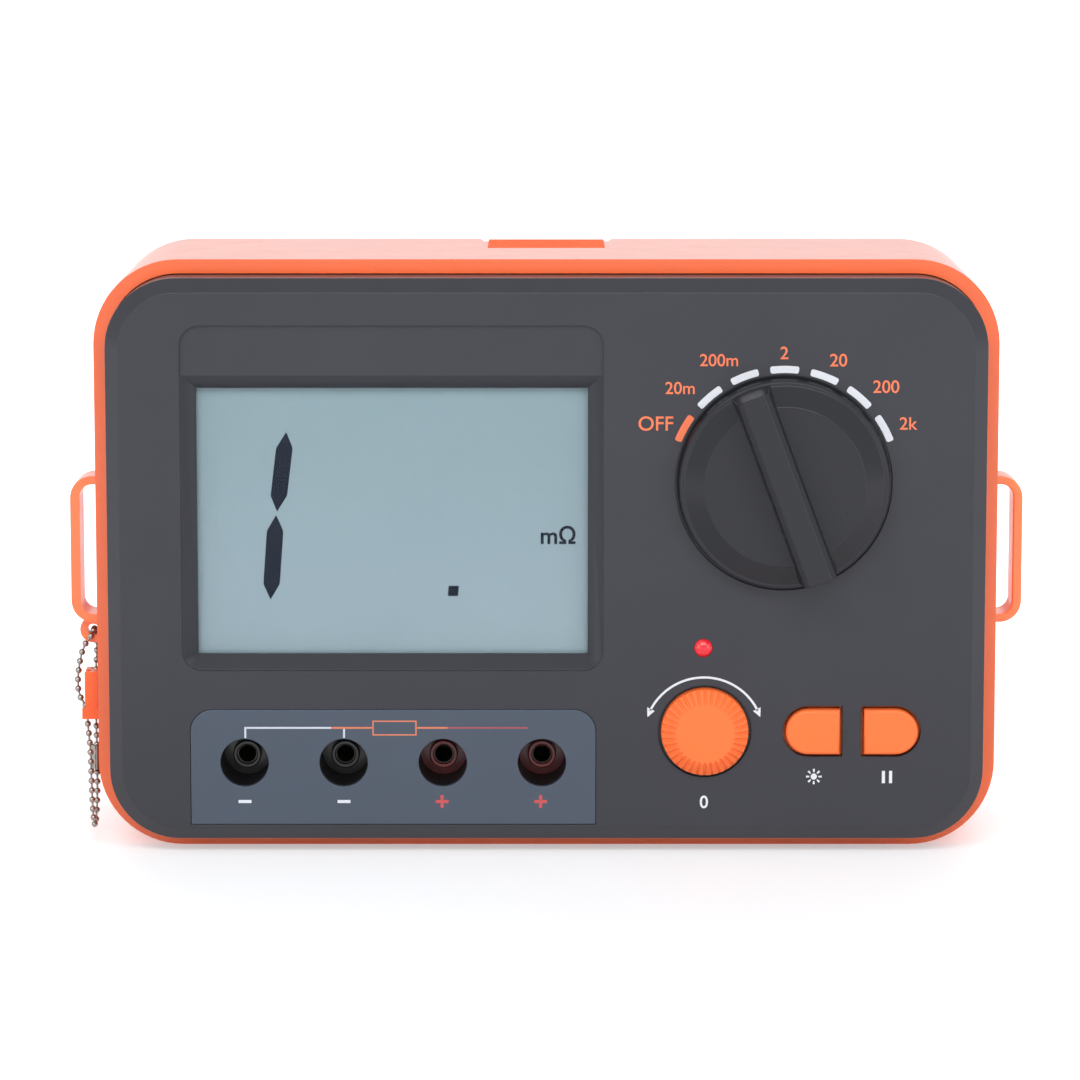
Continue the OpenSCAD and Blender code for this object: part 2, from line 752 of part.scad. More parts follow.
// Rear shell with its screw posts, battery space and the bay of the tilt stand
module rear_shell() {
    color([0.96, 0.42, 0.2]) difference() {
        union() {
            difference() {
                soft_block(case_w, case_h, shell_corner_r, cover_rise, case_depth, back_round);
                soft_block(case_w - 2 * shell_wall, case_h - 2 * shell_wall,
                           shell_corner_r - shell_wall, cover_rise - overrun, inner_back,
                           back_round - shell_wall);
            }
            for (p = case_posts) peg(p.x, p.y, posts_meet, inner_back + lap, shell_post_r);
            block(-space_w / 2 - battery_wall, space_w / 2 + battery_wall,
                  space_front - battery_wall, inner_back + lap,
                  battery_z - space_h / 2 - battery_wall, battery_z + space_h / 2 + battery_wall);
            block(-cover_plate_w / 2 - rebate_pad, cover_plate_w / 2 + rebate_pad,
                  inner_back - rebate_pad, inner_back + lap, shell_wall - lap,
                  cover_plate_high + rebate_pad);
            peg(0, cover_screw_z, cover_plate_deep - cover_boss_len, inner_back + lap,
                2.9 * cover_screw_r);
            block(-stand_w / 2 - 2 * stand_pin_len, stand_w / 2 + 2 * stand_pin_len,
                  stand_floor - stand_pad_t, inner_back + lap, stand_low - stand_pad_t,
                  case_h - shell_wall + lap);
        }
        thumb_notch();
        // Wells and holes of the case screws
        for (p = case_posts) {
            peg(p.x, p.y, posts_meet + case_screw_web, case_depth + overrun, screw_well_r);
            peg(p.x, p.y, posts_meet - overrun, case_depth, case_screw_r + screw_gap);
        }
        // Battery space, seat of its cover, slots for the hooks and the lead tabs
        block(-space_w / 2, space_w / 2, space_front, case_depth + overrun,
              battery_z - space_h / 2, battery_z + space_h / 2);
        block(-cover_plate_w / 2 - fit_gap, cover_plate_w / 2 + fit_gap,
              cover_plate_deep - screw_gap, case_depth + overrun,
              cover_plate_low - fit_gap, cover_plate_high + fit_gap);
        for (side = [-1, 1])
            block(side * hook_x - hook_w / 2 - fit_gap, side * hook_x + hook_w / 2 + fit_gap,
                  cover_plate_deep - screw_gap, cover_plate_deep + hook_t + fit_gap,
                  cover_plate_low - hook_out - 2 * fit_gap, cover_plate_low);
        peg(0, cover_screw_z, cover_plate_deep - cover_screw_len - overrun, case_depth,
            cover_screw_r + screw_gap);
        for (side = [-1, 1])
            block(side > 0 ? space_w / 2 - lap : -space_w / 2 - battery_wall - overrun,
                  side > 0 ? space_w / 2 + battery_wall + overrun : lap - space_w / 2,
                  cell_deep - plate_metal, cell_deep + plate_metal,
                  battery_z + side * cell_pitch - tab_w / 2 - fit_gap,
                  battery_z + side * cell_pitch + tab_w / 2 + fit_gap);
        // Bay of the tilt stand, its finger grip and its hinge sockets
        block(-stand_w / 2 - stand_side_gap, stand_w / 2 + stand_side_gap, stand_floor,
              case_depth + overrun, stand_low - 2 * move_gap, stand_low + stand_h + stand_side_gap);
        block(-grip_w / 2, grip_w / 2, stand_floor, case_depth + overrun, stand_low + stand_h,
              stand_low + stand_h + stand_side_gap + grip_h);
        translate([-stand_w / 2 - stand_pin_len - fit_gap, face_y + stand_hinge_deep,
                   stand_hinge_z])
            rotate([0, 90, 0])
                cylinder(h = stand_w + 2 * (stand_pin_len + fit_gap), r = stand_pin_r + run_gap);
    }
}

// Shallow thumb notch in the top, open at the rear edge
module thumb_notch() {
    translate([0, face_y + case_depth - notch_len, case_h]) rotate([90, 0, 180])
        translate([0, 0, 0]) linear_extrude(notch_len + overrun)
            polygon([[-notch_w / 2, overrun], [-notch_w / 2, 0],
                     [notch_slant - notch_w / 2, -notch_deep],
                     [notch_w / 2 - notch_slant, -notch_deep], [notch_w / 2, 0],
                     [notch_w / 2, overrun]]);
}

// Open loop of a strap lug, for the side given by +1 or -1
module strap_loop(side) {
    slab(lug_front, lug_front + lug_depth) translate([0, lug_z]) intersection() {
        difference() {
            rounded(2 * lug_out, lug_h, lug_r);
            rounded(2 * (lug_out - lug_bar), lug_h - 2 * lug_arm, lug_inner_r);
        }
        translate([side > 0 ? side_x : -side_x - lug_h, -lug_h]) square([lug_h, 2 * lug_h]);
    }
}

module strap_lug_left() {
    color([0.97, 0.48, 0.27]) difference() {
        union() {
            strap_loop(-1);
            difference() {
                union() {
                    peg(-eye_x, eye_z, lug_mid - eye_t / 2, lug_mid + eye_t / 2, eye_r);
                    block(-eye_x - eye_r / 2, -side_x, lug_mid - eye_t / 2, lug_mid + eye_t / 2,
                          eye_z, lug_z - lug_h / 2 + lug_arm / 2);
                }
                block(-side_x, 0, 0, case_depth, 0, case_h);
            }
        }
        peg(-eye_x, eye_z, lug_mid - eye_t, lug_mid + eye_t, eye_hole_r);
    }
}

module strap_lug_right() {
    color([0.97, 0.48, 0.27]) strap_loop(1);
}

// Grey plate round the jacks
module jack_plate() {
    color([0.33, 0.36, 0.42]) difference() {
        slab(0, plate_t) translate([display_x, plate_low])
            arched(plate_w, plate_h, plate_r);
        for (x = jack_xs) peg(x, jack_z, -overrun, plate_t + overrun, well_dia / 2);
    }
}

// Display stack, from the front: window, glass, light guide, frame and contact strips
module display_window() {
    color([0.85, 0.9, 0.92, 0.4]) slab(window_deep, window_deep + lens_t)
        translate([display_x, display_z]) square([lens_w, lens_h], center = true);
}

module lcd_panel() {
    color([0.6, 0.7, 0.74]) slab(panel_deep, panel_back)
        translate([display_x, display_z]) square([panel_w, panel_h], center = true);
}

module lcd_backlight() {
    color([0.93, 0.95, 0.95]) slab(backlight_deep, backlight_deep + backlight_t)
        translate([display_x, display_z]) square([backlight_w, backlight_h], center = true);
}

module lcd_frame() {
    color([0.9, 0.9, 0.88]) difference() {
        slab(frame_front, board_deep) translate([display_x, display_z])
            square([frame_w, frame_h], center = true);
        slab(frame_front - overrun, panel_back) translate([display_x, display_z])
            square([panel_w + 2 * fit_gap, panel_h + 2 * fit_gap], center = true);
        slab(frame_front, backlight_deep + backlight_t) translate([display_x, display_z])
            square([backlight_w + 2 * fit_gap, backlight_h + 2 * fit_gap], center = true);
        slab(frame_front, board_deep + overrun) translate([display_x, display_z])
            square([backlight_w - 2 * shelf, backlight_h - 2 * shelf], center = true);
        for (side = [-1, 1])
            slab(frame_front, board_deep + overrun)
                translate([display_x, display_z + side * strip_up])
                    square([strip_w + 2 * fit_gap, strip_t + 2 * fit_gap], center = true);
    }
}

module zebra_strips() {
    color([0.15, 0.15, 0.17]) for (side = [-1, 1])
        slab(panel_back, board_deep) translate([display_x, display_z + side * strip_up])
            square([strip_w, strip_t], center = true);
}

// Jack: black housing, coloured core, metal sleeve, tag, nut and link to the board
module jack_housings() {
    color([0.08, 0.08, 0.09]) for (x = jack_xs) difference() {
        union() {
            peg(x, jack_z, housing_front, housing_back, housing_r);
            peg(x, jack_z, plate_pad + screw_gap, plate_pad + screw_gap + housing_flange_t,
                housing_r + housing_flange_w);
        }
        peg(x, jack_z, 0, housing_back - housing_floor_t, well_dia / 2);
        peg(x, jack_z, 0, housing_back + overrun, core_tail_r + screw_gap);
    }
}

module jack_core(x) {
    difference() {
        union() {
            peg(x, jack_z, core_deep, core_back, core_tube_dia / 2);
            peg(x, jack_z, housing_back - housing_floor_t - core_collar_t,
                housing_back - housing_floor_t, well_dia / 2 - screw_gap);
            peg(x, jack_z, housing_back - housing_floor_t - lap, core_back, core_tail_r);
        }
        peg(x, jack_z, core_deep - overrun, core_back, core_mouth_r);
        peg(x, jack_z, sleeve_front, core_back + overrun, sleeve_r + run_gap);
    }
}

module current_minus_core() { color([0.1, 0.1, 0.11]) jack_core(jack_xs[0]); }
module voltage_minus_core() { color([0.1, 0.1, 0.11]) jack_core(jack_xs[1]); }
module voltage_plus_core() { color([0.42, 0.05, 0.08]) jack_core(jack_xs[2]); }
module current_plus_core() { color([0.42, 0.05, 0.08]) jack_core(jack_xs[3]); }

module contact_sleeves() {
    color([0.78, 0.66, 0.36]) for (x = jack_xs) difference() {
        peg(x, jack_z, sleeve_front, sleeve_back, sleeve_r);
        peg(x, jack_z, sleeve_front - overrun, sleeve_back - sleeve_end_t, contact_bore_dia / 2);
    }
}

module solder_tags() {
    color([0.8, 0.8, 0.78]) for (x = jack_xs)
        slab(core_back, core_back + tag_t) translate([x, jack_z]) difference() {
            union() {
                circle(tag_r);
                translate([-tag_end_r, 0]) square([2 * tag_end_r, tag_reach]);
                translate([0, tag_reach]) circle(tag_end_r);
            }
            circle(sleeve_r + run_gap);
            translate([0, tag_reach]) circle(link_r + screw_gap);
        }
}

module jack_nuts() {
    color([0.75, 0.72, 0.6]) for (x = jack_xs) difference() {
        slab(core_back + tag_t, core_back + tag_t + nut_t) translate([x, jack_z])
            circle(nut_r, $fn = 6);
        peg(x, jack_z, core_back, sleeve_back, sleeve_r + run_gap);
    }
}

module jack_links() {
    color([0.8, 0.8, 0.78]) for (x = jack_xs)
        peg(x, jack_z + tag_reach, board_back, core_back + tag_t, link_r);
}

// Range knob: skirt, flat and grip bar, turned to where it stands
module range_knob() {
    color([0.25, 0.25, 0.28]) difference() {
        union() {
            translate([knob_x, face_y, knob_z]) rotate([90, 0, 0]) rotate_extrude()
                polygon([[0, fit_gap - dial_recess], [knob_r, fit_gap - dial_recess],
                         [knob_r - knob_draft, skirt_h - knob_rim_round],
                         [knob_r - knob_draft - knob_rim_round, skirt_h],
                         [knob_r - knob_draft - knob_rim_round - knob_rim_w, skirt_h],
                         [platform_r, platform_h], [0, platform_h]]);
            grip_bar();
        }
        at_knob(rest_angle) spigot(run_gap, spigot_h + fit_gap);
        peg(knob_x, knob_z, -rotor_screw_tip - overrun, 0, rotor_screw_r + screw_gap);
        difference() {
            peg(knob_x, knob_z, -knob_hollow_h, dial_recess, knob_hollow_out);
            peg(knob_x, knob_z, -knob_hollow_h - overrun, dial_recess + overrun, knob_hollow_in);
        }
    }
}

module grip_bar() {
    intersection() {
        at_knob(rest_angle) linear_extrude(2 * knob_r, center = true)
            polygon([[-bar_foot_w / 2, -skirt_h], [bar_foot_w / 2, -skirt_h],
                     [bar_top_w / 2, bar_round - knob_h], [bar_top_w / 2 - bar_round, -knob_h],
                     [bar_round - bar_top_w / 2, -knob_h], [-bar_top_w / 2, bar_round - knob_h]]);
        translate([knob_x, face_y, knob_z]) rotate([90, 0, 0])
            cylinder(h = knob_h, r1 = bar_reach, r2 = bar_reach_top);
    }
}

// Flatted spigot that turns the rotor with the knob
module spigot(grow, length) {
    rotate([90, 0, 0]) translate([0, 0, -dial_recess]) linear_extrude(length + dial_recess)
        intersection() {
            circle(spigot_r + grow);
            translate([-2 * spigot_r, -2 * spigot_r])
                square([4 * spigot_r, 2 * spigot_r + spigot_flat + grow]);
        }
}

// Switch rotor: hub through the face, disc with two radial pockets
module switch_rotor() {
    color([0.92, 0.92, 0.88]) difference() {
        union() {
            at_knob(rest_angle) spigot(0, spigot_h);
            peg(knob_x, knob_z, dial_recess - fit_gap / 2, rotor_front + lap, hub_r);
            peg(knob_x, knob_z, rotor_front, rotor_back, rotor_r);
        }
        peg(knob_x, knob_z, -knob_h, rotor_back, rotor_screw_r + screw_gap);
        peg(knob_x, knob_z, rotor_back - rotor_screw_head_t - 2 * fit_gap, rotor_back + overrun,
            rotor_screw_head_r + fit_gap);
        for (half = [0, 180])
            at_knob(rest_angle + half) translate([0, rotor_front + rotor_t / 2, pocket_in])
                cylinder(h = rotor_r, r = pocket_r);
    }
}

module rotor_screw() {
    color([0.7, 0.71, 0.73])
        screw(knob_x, knob_z, rotor_back - rotor_screw_head_t - 2 * fit_gap, -rotor_screw_tip,
              rotor_screw_r, rotor_screw_head_r, rotor_screw_head_t);
}

// Bowed wipers on the back of the rotor
module wiper_contacts() {
    color([0.82, 0.68, 0.4]) for (i = [0:2])
        at_knob(rest_angle + 60 + 120 * i)
            translate([0, rotor_back, wiper_radii_shares[i] * rotor_r])
                linear_extrude(wiper_w, center = true) {
                    translate([-wiper_foot / 2, 0]) square([wiper_foot, wiper_t]);
                    translate([0, wiper_t]) difference() {
                        circle(wiper_arch_r);
                        circle(wiper_arch_r - wiper_t);
                        translate([-wiper_foot, -2 * wiper_foot])
                            square([2 * wiper_foot, 2 * wiper_foot]);
                    }
                }
}

module detent_springs() {
    length = ball_at - ball_r - pocket_in - fit_gap;
    color([0.72, 0.73, 0.75]) for (half = [0, 180])
        at_knob(rest_angle + half)
            translate([0, rotor_front + rotor_t / 2, pocket_in + fit_gap / 2])
                spring(detent_spring_r, detent_spring_r, length, detent_wire_r, detent_turns);
}

module detent_balls() {
    color([0.8, 0.81, 0.83]) for (half = [0, 180])
        at_knob(rest_angle + half) translate([0, rotor_front + rotor_t / 2, ball_at])
            sphere(ball_r);
}

// Zero knob: low disc in its well, with grooves across its sloping shoulder
module zero_knob() {
    fall = zero_h - zero_rim_h;
    run = zero_r - zero_draft - zero_flat_dia / 2;
    color([1, 0.5, 0.24]) difference() {
        translate([zero_x, face_y, zero_z]) rotate([90, 0, 0]) rotate_extrude()
            polygon([[0, fit_gap - zero_well_deep], [zero_r, fit_gap - zero_well_deep],
                     [zero_r - zero_draft, zero_rim_h], [zero_flat_dia / 2, zero_h], [0, zero_h]]);
        peg(zero_x, zero_z, -pot_shaft_end - fit_gap, zero_well_deep, pot_shaft_r + run_gap / 2);
        for (i = [0:zero_grooves - 1])
            translate([zero_x, face_y, zero_z]) rotate([0, 360 * i / zero_grooves, 0])
                translate([0, -zero_rim_h, zero_r - zero_draft]) rotate([atan2(fall, -run), 0, 0])
                    translate([0, 0, -overrun])
                        cylinder(h = norm([fall, run]) + 2 * overrun, r = groove_r, $fn = 12);
    }
}

module zero_pot_shaft() {
    color([0.78, 0.79, 0.8])
        peg(zero_x, zero_z, -pot_shaft_end, board_deep - pot_floor_t - fit_gap, pot_shaft_r);
}

module zero_pot_body() {
    color([0.6, 0.61, 0.62]) difference() {
        union() {
            peg(zero_x, zero_z, pot_bush_front, pot_front + lap, pot_bush_r);
            peg(zero_x, zero_z, pot_front, board_deep, pot_r);
        }
        peg(zero_x, zero_z, 0, board_deep - pot_floor_t, pot_shaft_r + run_gap);
    }
}

module power_lamp() {
    color([0.86, 0.12, 0.17]) {
        translate([lamp_x, face_y + lamp_dome, lamp_z]) sphere(lamp_r);
        peg(lamp_x, lamp_z, lamp_dome, lamp_back - lamp_flange_t + lap, lamp_r);
        peg(lamp_x, lamp_z, lamp_back - lamp_flange_t, lamp_back, lamp_flange_r);
        for (side = [-1, 1])
            peg(lamp_x + side * lamp_lead_x, lamp_z, lamp_back - lap, board_deep, lamp_lead_r);
    }
}

module lamp_spacer() {
    color([0.12, 0.12, 0.13]) difference() {
        peg(lamp_x, lamp_z, lamp_back, board_deep, lamp_flange_r);
        for (side = [-1, 1])
            peg(lamp_x + side * lamp_lead_x, lamp_z, 0, board_back, lamp_lead_r + screw_gap);
    }
}

// Button: cap, flange behind the face and stem to the switch
module button(x, side) {
    slab(-button_proud, button_flange_front + lap) translate([x, button_z])
        button_outline(side, 0);
    slab(button_flange_front, button_flange_front + button_flange_t) translate([x, button_z])
        button_outline(side, button_flange);
    peg(x, button_z, button_flange_front, stem_back, stem_r);
}

module hold_button() { color([1, 0.5, 0.24]) button(hold_x, 1); }
module backlight_button() { color([1, 0.5, 0.24]) button(backlight_x, -1); }

module plunger(x) { peg(x, button_z, stem_back, switch_front + plunger_in, plunger_r); }
module hold_plunger() { color([0.15, 0.15, 0.16]) plunger(hold_x); }
module backlight_plunger() { color([0.15, 0.15, 0.16]) plunger(backlight_x); }

module key_switch(x) {
    difference() {
        block(x - switch_w / 2, x + switch_w / 2, switch_front, board_deep,
              button_z - switch_w / 2, button_z + switch_w / 2);
        peg(x, button_z, 0, board_deep - switch_floor_t, plunger_r + run_gap);
    }
}

module hold_switch() { color([0.7, 0.71, 0.72]) key_switch(hold_x); }
module backlight_switch() { color([0.7, 0.71, 0.72]) key_switch(backlight_x); }

// Circuit board with holes for the posts, screws and jacks
module main_board() {
    color([0.07, 0.34, 0.2]) difference() {
        slab(board_deep, board_back) translate([0, mid_z])
            rounded(board_w, board_h, board_corner_r);
        for (p = case_posts)
            peg(p.x, p.y, board_deep - overrun, board_back + overrun, cover_boss_r + 2 * fit_gap);
        for (p = board_posts)
            peg(p.x, p.y, board_deep - overrun, board_back + overrun, board_screw_r + fit_gap);
        for (x = jack_xs)
            peg(x, jack_z, board_deep - overrun, board_back + overrun, housing_r + fit_gap);
    }
}

module board_screws() {
    color([0.75, 0.76, 0.78]) for (p = board_posts)
        screw(p.x, p.y, board_back, board_screw_tip, board_screw_r, board_screw_head_r,
              board_screw_head_t);
}

module converter_chip() {
    color([0.13, 0.13, 0.14])
        block(chip_at.x - chip_w / 2, chip_at.x + chip_w / 2, board_back, board_back + chip_t,
              chip_at.y - chip_w / 2, chip_at.y + chip_w / 2);
}

module amplifier_chips() {
    color([0.13, 0.13, 0.14]) for (i = [-1:1])
        block(amps_at.x - amp_w / 2, amps_at.x + amp_w / 2, board_back, board_back + amp_t,
              amps_at.y + i * amp_pitch - amp_h / 2, amps_at.y + i * amp_pitch + amp_h / 2);
}

module electrolytic_capacitors() {
    color([0.12, 0.16, 0.3]) for (i = [0:2])
        peg(caps_at.x + i * cap_pitch, caps_at.y, board_back, board_back + cap_len, cap_r);
}

// Precision resistors that set the ranges, lying across on bent leads
module range_resistors() {
    color([0.25, 0.45, 0.7]) for (i = [-2.5:2.5])
        translate([resistors_at.x, face_y + board_back, resistors_at.y + i * resistor_pitch]) {
            translate([-resistor_len / 2, resistor_lift, 0]) rotate([0, 90, 0])
                cylinder(h = resistor_len, r = resistor_r);
            translate([-resistor_span / 2, resistor_lift, 0]) rotate([0, 90, 0])
                cylinder(h = resistor_span, r = resistor_lead_r);
            for (side = [-1, 1]) translate([side * resistor_span / 2, 0, 0]) {
                rotate([-90, 0, 0]) cylinder(h = resistor_lift, r = resistor_lead_r);
                translate([0, resistor_lift, 0]) sphere(resistor_lead_r);
            }
        }
}

// Fuse: spring clips on the board, glass tube and metal end caps
module fuse_bar(x0, x1, r) {
    translate([fuse_at.x + x0, face_y + board_back + fuse_lift, fuse_at.y]) rotate([0, 90, 0])
        cylinder(h = x1 - x0, r = r);
}

module fuse_clips() {
    half = fuse_r + run_gap + clip_wall;
    color([0.8, 0.8, 0.78]) for (side = [-1, 1]) difference() {
        block(fuse_at.x + side * (fuse_len - fuse_cap_len) / 2 - clip_w / 2,
              fuse_at.x + side * (fuse_len - fuse_cap_len) / 2 + clip_w / 2,
              board_back, board_back + fuse_lift + fuse_r, fuse_at.y - half, fuse_at.y + half);
        fuse_bar(-fuse_len, fuse_len, fuse_r + run_gap);
        block(fuse_at.x - fuse_len, fuse_at.x + fuse_len, board_back + fuse_lift + fuse_r / 2,
              board_back + fuse_lift + 2 * fuse_r, fuse_at.y - 0.8 * fuse_r,
              fuse_at.y + 0.8 * fuse_r);
        block(fuse_at.x - fuse_len, fuse_at.x + fuse_len, board_back + clip_wall,
              board_back + fuse_lift, fuse_at.y - 0.8 * fuse_r, fuse_at.y + 0.8 * fuse_r);
    }
}

module fuse_glass() {
    tube_r = fuse_r - fuse_cap_t - run_gap;
    half = fuse_len / 2 - fuse_cap_t - screw_gap;
    color([0.85, 0.9, 0.9, 0.5]) difference() {
        fuse_bar(-half, half, tube_r);
        fuse_bar(-fuse_len, fuse_len, tube_r - fuse_glass_wall);
    }
}

module fuse_caps() {
    color([0.82, 0.82, 0.8]) for (side = [0, 1])
        translate([2 * side * fuse_at.x, 0, 0]) mirror([side, 0, 0]) difference() {
            fuse_bar(fuse_len / 2 - fuse_cap_len, fuse_len / 2, fuse_r);
            fuse_bar(0, fuse_len / 2 - fuse_cap_t, fuse_r - fuse_cap_t);
        }
}

// Battery: three rows of two cells end to end, each row turned against the next
function row_z(i) = battery_z + (i - 1) * cell_pitch;
function row_way(i) = i == 1 ? -1 : 1;

module in_row(i) {
    translate([0, face_y + cell_deep, row_z(i)]) mirror([row_way(i) > 0 ? 0 : 1, 0, 0])
        translate([plate_metal - space_w / 2, 0, 0]) rotate([0, 90, 0]) children();
}

module battery_cells() {
    color([0.16, 0.34, 0.62]) for (i = [0:2], j = [0:1])
        in_row(i) translate([0, 0, contact_spring_len + j * cell_len]) {
            cylinder(h = cell_len - nub_len - (j == 0 ? screw_gap : 0), r = cell_dia / 2);
            cylinder(h = cell_len - (j == 0 ? screw_gap : 0), r = nub_r);
        }
}

module contact_springs() {
    color([0.8, 0.81, 0.82]) for (i = [0:2])
        in_row(i) spring(spring_large_r, spring_small_r, contact_spring_len - screw_gap,
                         spring_wire_r, contact_spring_turns);
}

// Metal plates that join the rows, with a tab through the wall at each end of the string
module contact_plates() {
    plate = cell_pitch - contact_plate_gap;
    color([0.82, 0.82, 0.8]) for (side = [-1, 1]) {
        x0 = side > 0 ? space_w / 2 - plate_metal : -space_w / 2;
        for (i = [0:2])
            block(x0, x0 + plate_metal, cell_deep - plate / 2, cell_deep + plate / 2,
                  row_z(i) - plate / 2, row_z(i) + plate / 2);
        block(x0, x0 + plate_metal, cell_deep - plate / 4, cell_deep + plate / 4,
              side > 0 ? row_z(0) : row_z(1), side > 0 ? row_z(1) : row_z(2));
        block(side > 0 ? x0 : x0 - battery_wall - tab_out,
              side > 0 ? x0 + plate_metal + battery_wall + tab_out : x0 + plate_metal,
              cell_deep - plate_metal / 2, cell_deep + plate_metal / 2,
              battery_z + side * cell_pitch - tab_w / 2, battery_z + side * cell_pitch + tab_w / 2);
    }
}

// Two leads from the tabs to the board, each an easy curve
lead_steps = 14;
lead_sides = 8;
lead_sway = 5;
lead_up = 22;
module battery_leads() {
    start = cell_deep - plate_metal / 2 - fit_gap;
    end = board_back + fit_gap;
    color([0.7, 0.1, 0.1]) for (side = [-1, 1]) {
        x = side * (space_w / 2 + battery_wall + tab_out / 2);
        path = [for (i = [0:lead_steps])
            let (share = i / lead_steps)
            [x + side * lead_sway * (1 - cos(360 * share)) / 2,
             face_y + start + (end - start) * share,
             battery_z + side * cell_pitch - side * lead_up / 2 * (1 - cos(180 * share))]];
        tube(path, [for (p = path) [1, 0, 0]], lead_r, lead_sides);
    }
}

// Battery cover with two hooks below and one screw above
module battery_cover() {
    color([0.95, 0.42, 0.2]) difference() {
        union() {
            block(-cover_plate_w / 2, cover_plate_w / 2, cover_plate_deep, case_depth,
                  cover_plate_low, cover_plate_high);
            for (side = [-1, 1])
                block(side * hook_x - hook_w / 2, side * hook_x + hook_w / 2, cover_plate_deep,
                      cover_plate_deep + hook_t, cover_plate_low - hook_out,
                      cover_plate_low + lap);
        }
        peg(0, cover_screw_z, 0, case_depth + overrun, cover_screw_r + fit_gap);
        peg(0, cover_screw_z, case_depth - cover_screw_head_t, case_depth + overrun,
            cover_screw_head_r + fit_gap);
    }
}

module battery_cover_screw() {
    color([0.75, 0.76, 0.78])
        screw(0, cover_screw_z, case_depth - cover_screw_head_t, cover_plate_deep - cover_screw_len,
              cover_screw_r, cover_screw_head_r, cover_screw_head_t - fit_gap);
}

// Tilt stand on two pins at its foot, folded into its bay
module tilt_stand() {
    color([0.93, 0.41, 0.2]) difference() {
        union() {
            block(-stand_w / 2, stand_w / 2, stand_deep, stand_deep + stand_t, stand_hinge_z,
                  stand_low + stand_h);
            translate([-stand_w / 2, face_y + stand_hinge_deep, stand_hinge_z]) rotate([0, 90, 0])
                cylinder(h = stand_w, r = stand_t / 2);
            translate([-stand_w / 2 - stand_pin_len, face_y + stand_hinge_deep, stand_hinge_z])
                rotate([0, 90, 0]) cylinder(h = stand_w + 2 * stand_pin_len, r = stand_pin_r);
        }
        block(stand_dish_edge - stand_w / 2, stand_w / 2 - stand_dish_edge,
              stand_deep + stand_t - stand_dish, stand_deep + stand_t + overrun,
              stand_hinge_z + stand_dish_edge / 2, stand_low + stand_h - stand_dish_edge);
    }
}

module case_screws() {
    color([0.72, 0.73, 0.75]) for (p = case_posts)
        screw(p.x, p.y, posts_meet + case_screw_web, posts_meet - case_screw_grip, case_screw_r,
              case_screw_head_r, case_screw_head_t);
}

// Closed smooth curve through the loop's points, cut into even steps
function loop_point(i) =
    let (p = loop_shares[(i + len(loop_shares)) % len(loop_shares)])
    [p.x * chain_bow - eye_x, face_y + lug_mid + p.y * chain_spread, chain_z + p.z * chain_drop];
function curve(a, b, c, d, t) =
    ((2 * b) + (c - a) * t + (2 * a - 5 * b + 4 * c - d) * t * t
        + (3 * b - a - 3 * c + d) * t * t * t) / 2;
curve_steps = 12;
loop_path = [for (i = [0:len(loop_shares) - 1], j = [0:curve_steps - 1])
    curve(loop_point(i - 1), loop_point(i), loop_point(i + 1), loop_point(i + 2),
          j / curve_steps)];
path_count = len(loop_path);
loop_runs = [for (i = 0, s = 0; i <= path_count;
    s = s + norm(loop_path[(i + 1) % path_count] - loop_path[i % path_count]), i = i + 1) s];
loop_len = loop_runs[path_count];
bead_count = round(loop_len / bead_pitch);
function along(s, axis) =
    lookup(s, [for (i = [0:path_count]) [loop_runs[i], loop_path[i % path_count][axis]]]);
beads = [for (i = [0:bead_count - 1])
    let (s = (i + 0.5) * loop_len / bead_count) [along(s, 0), along(s, 1), along(s, 2)]];

module ball_chain() {
    color([0.78, 0.76, 0.72]) for (i = [0:bead_count - 1]) {
        a = beads[i];
        b = beads[(i + 1) % bead_count];
        step = b - a;
        translate(a) sphere(bead_dia / 2, $fn = 12);
        translate(a) rotate([0, acos(step.z / norm(step)), atan2(step.y, step.x)])
            cylinder(h = norm(step), r = chain_wire_dia / 2, $fn = 8);
    }
}

// Barrel that closes the chain
module chain_coupling() {
    y = chain_spread * 0.62;
    low = chain_z - coupling_top_share * chain_drop - coupling_len;
    color([0.7, 0.68, 0.64]) translate([-eye_x - chain_bow * 0.02, face_y + lug_mid + y, low])
        difference() {
            cylinder(h = coupling_len, r = coupling_r);
            translate([0, 0, -overrun])
                cylinder(h = coupling_len + 2 * overrun, r = coupling_r - coupling_wall);
        }
}

// Orange tag that both strands of the chain run through
module chain_tag() {
    top = chain_z - tag_top_share * chain_drop;
    step = chain_z - tag_step_share * chain_drop;
    low = chain_z - tag_low_share * chain_drop;
    tube_end = chain_z - tag_tube_share * chain_drop;
    y = face_y + lug_mid;
    color([0.97, 0.4, 0.14]) difference() {
        union() {
            translate([tag_x, y, 0]) {
                translate([-tag_thick / 2, -tag_wide / 2, low])
                    cube([tag_thick, tag_wide, top - low]);
                translate([-tag_foot_thick / 2, -tag_foot_wide / 2, low])
                    cube([tag_foot_thick, tag_foot_wide, step - low]);
            }
        }
        for (side = [-1, 1])
            translate([-eye_x + (side < 0 ? -0.45 : 0.02) * chain_bow,
                       y + side * 0.47 * chain_spread, tube_end - overrun])
                cylinder(h = top - tube_end + 2 * overrun, r = side < 0 ? tag_mouth_r : tag_bore_r);
    }
}

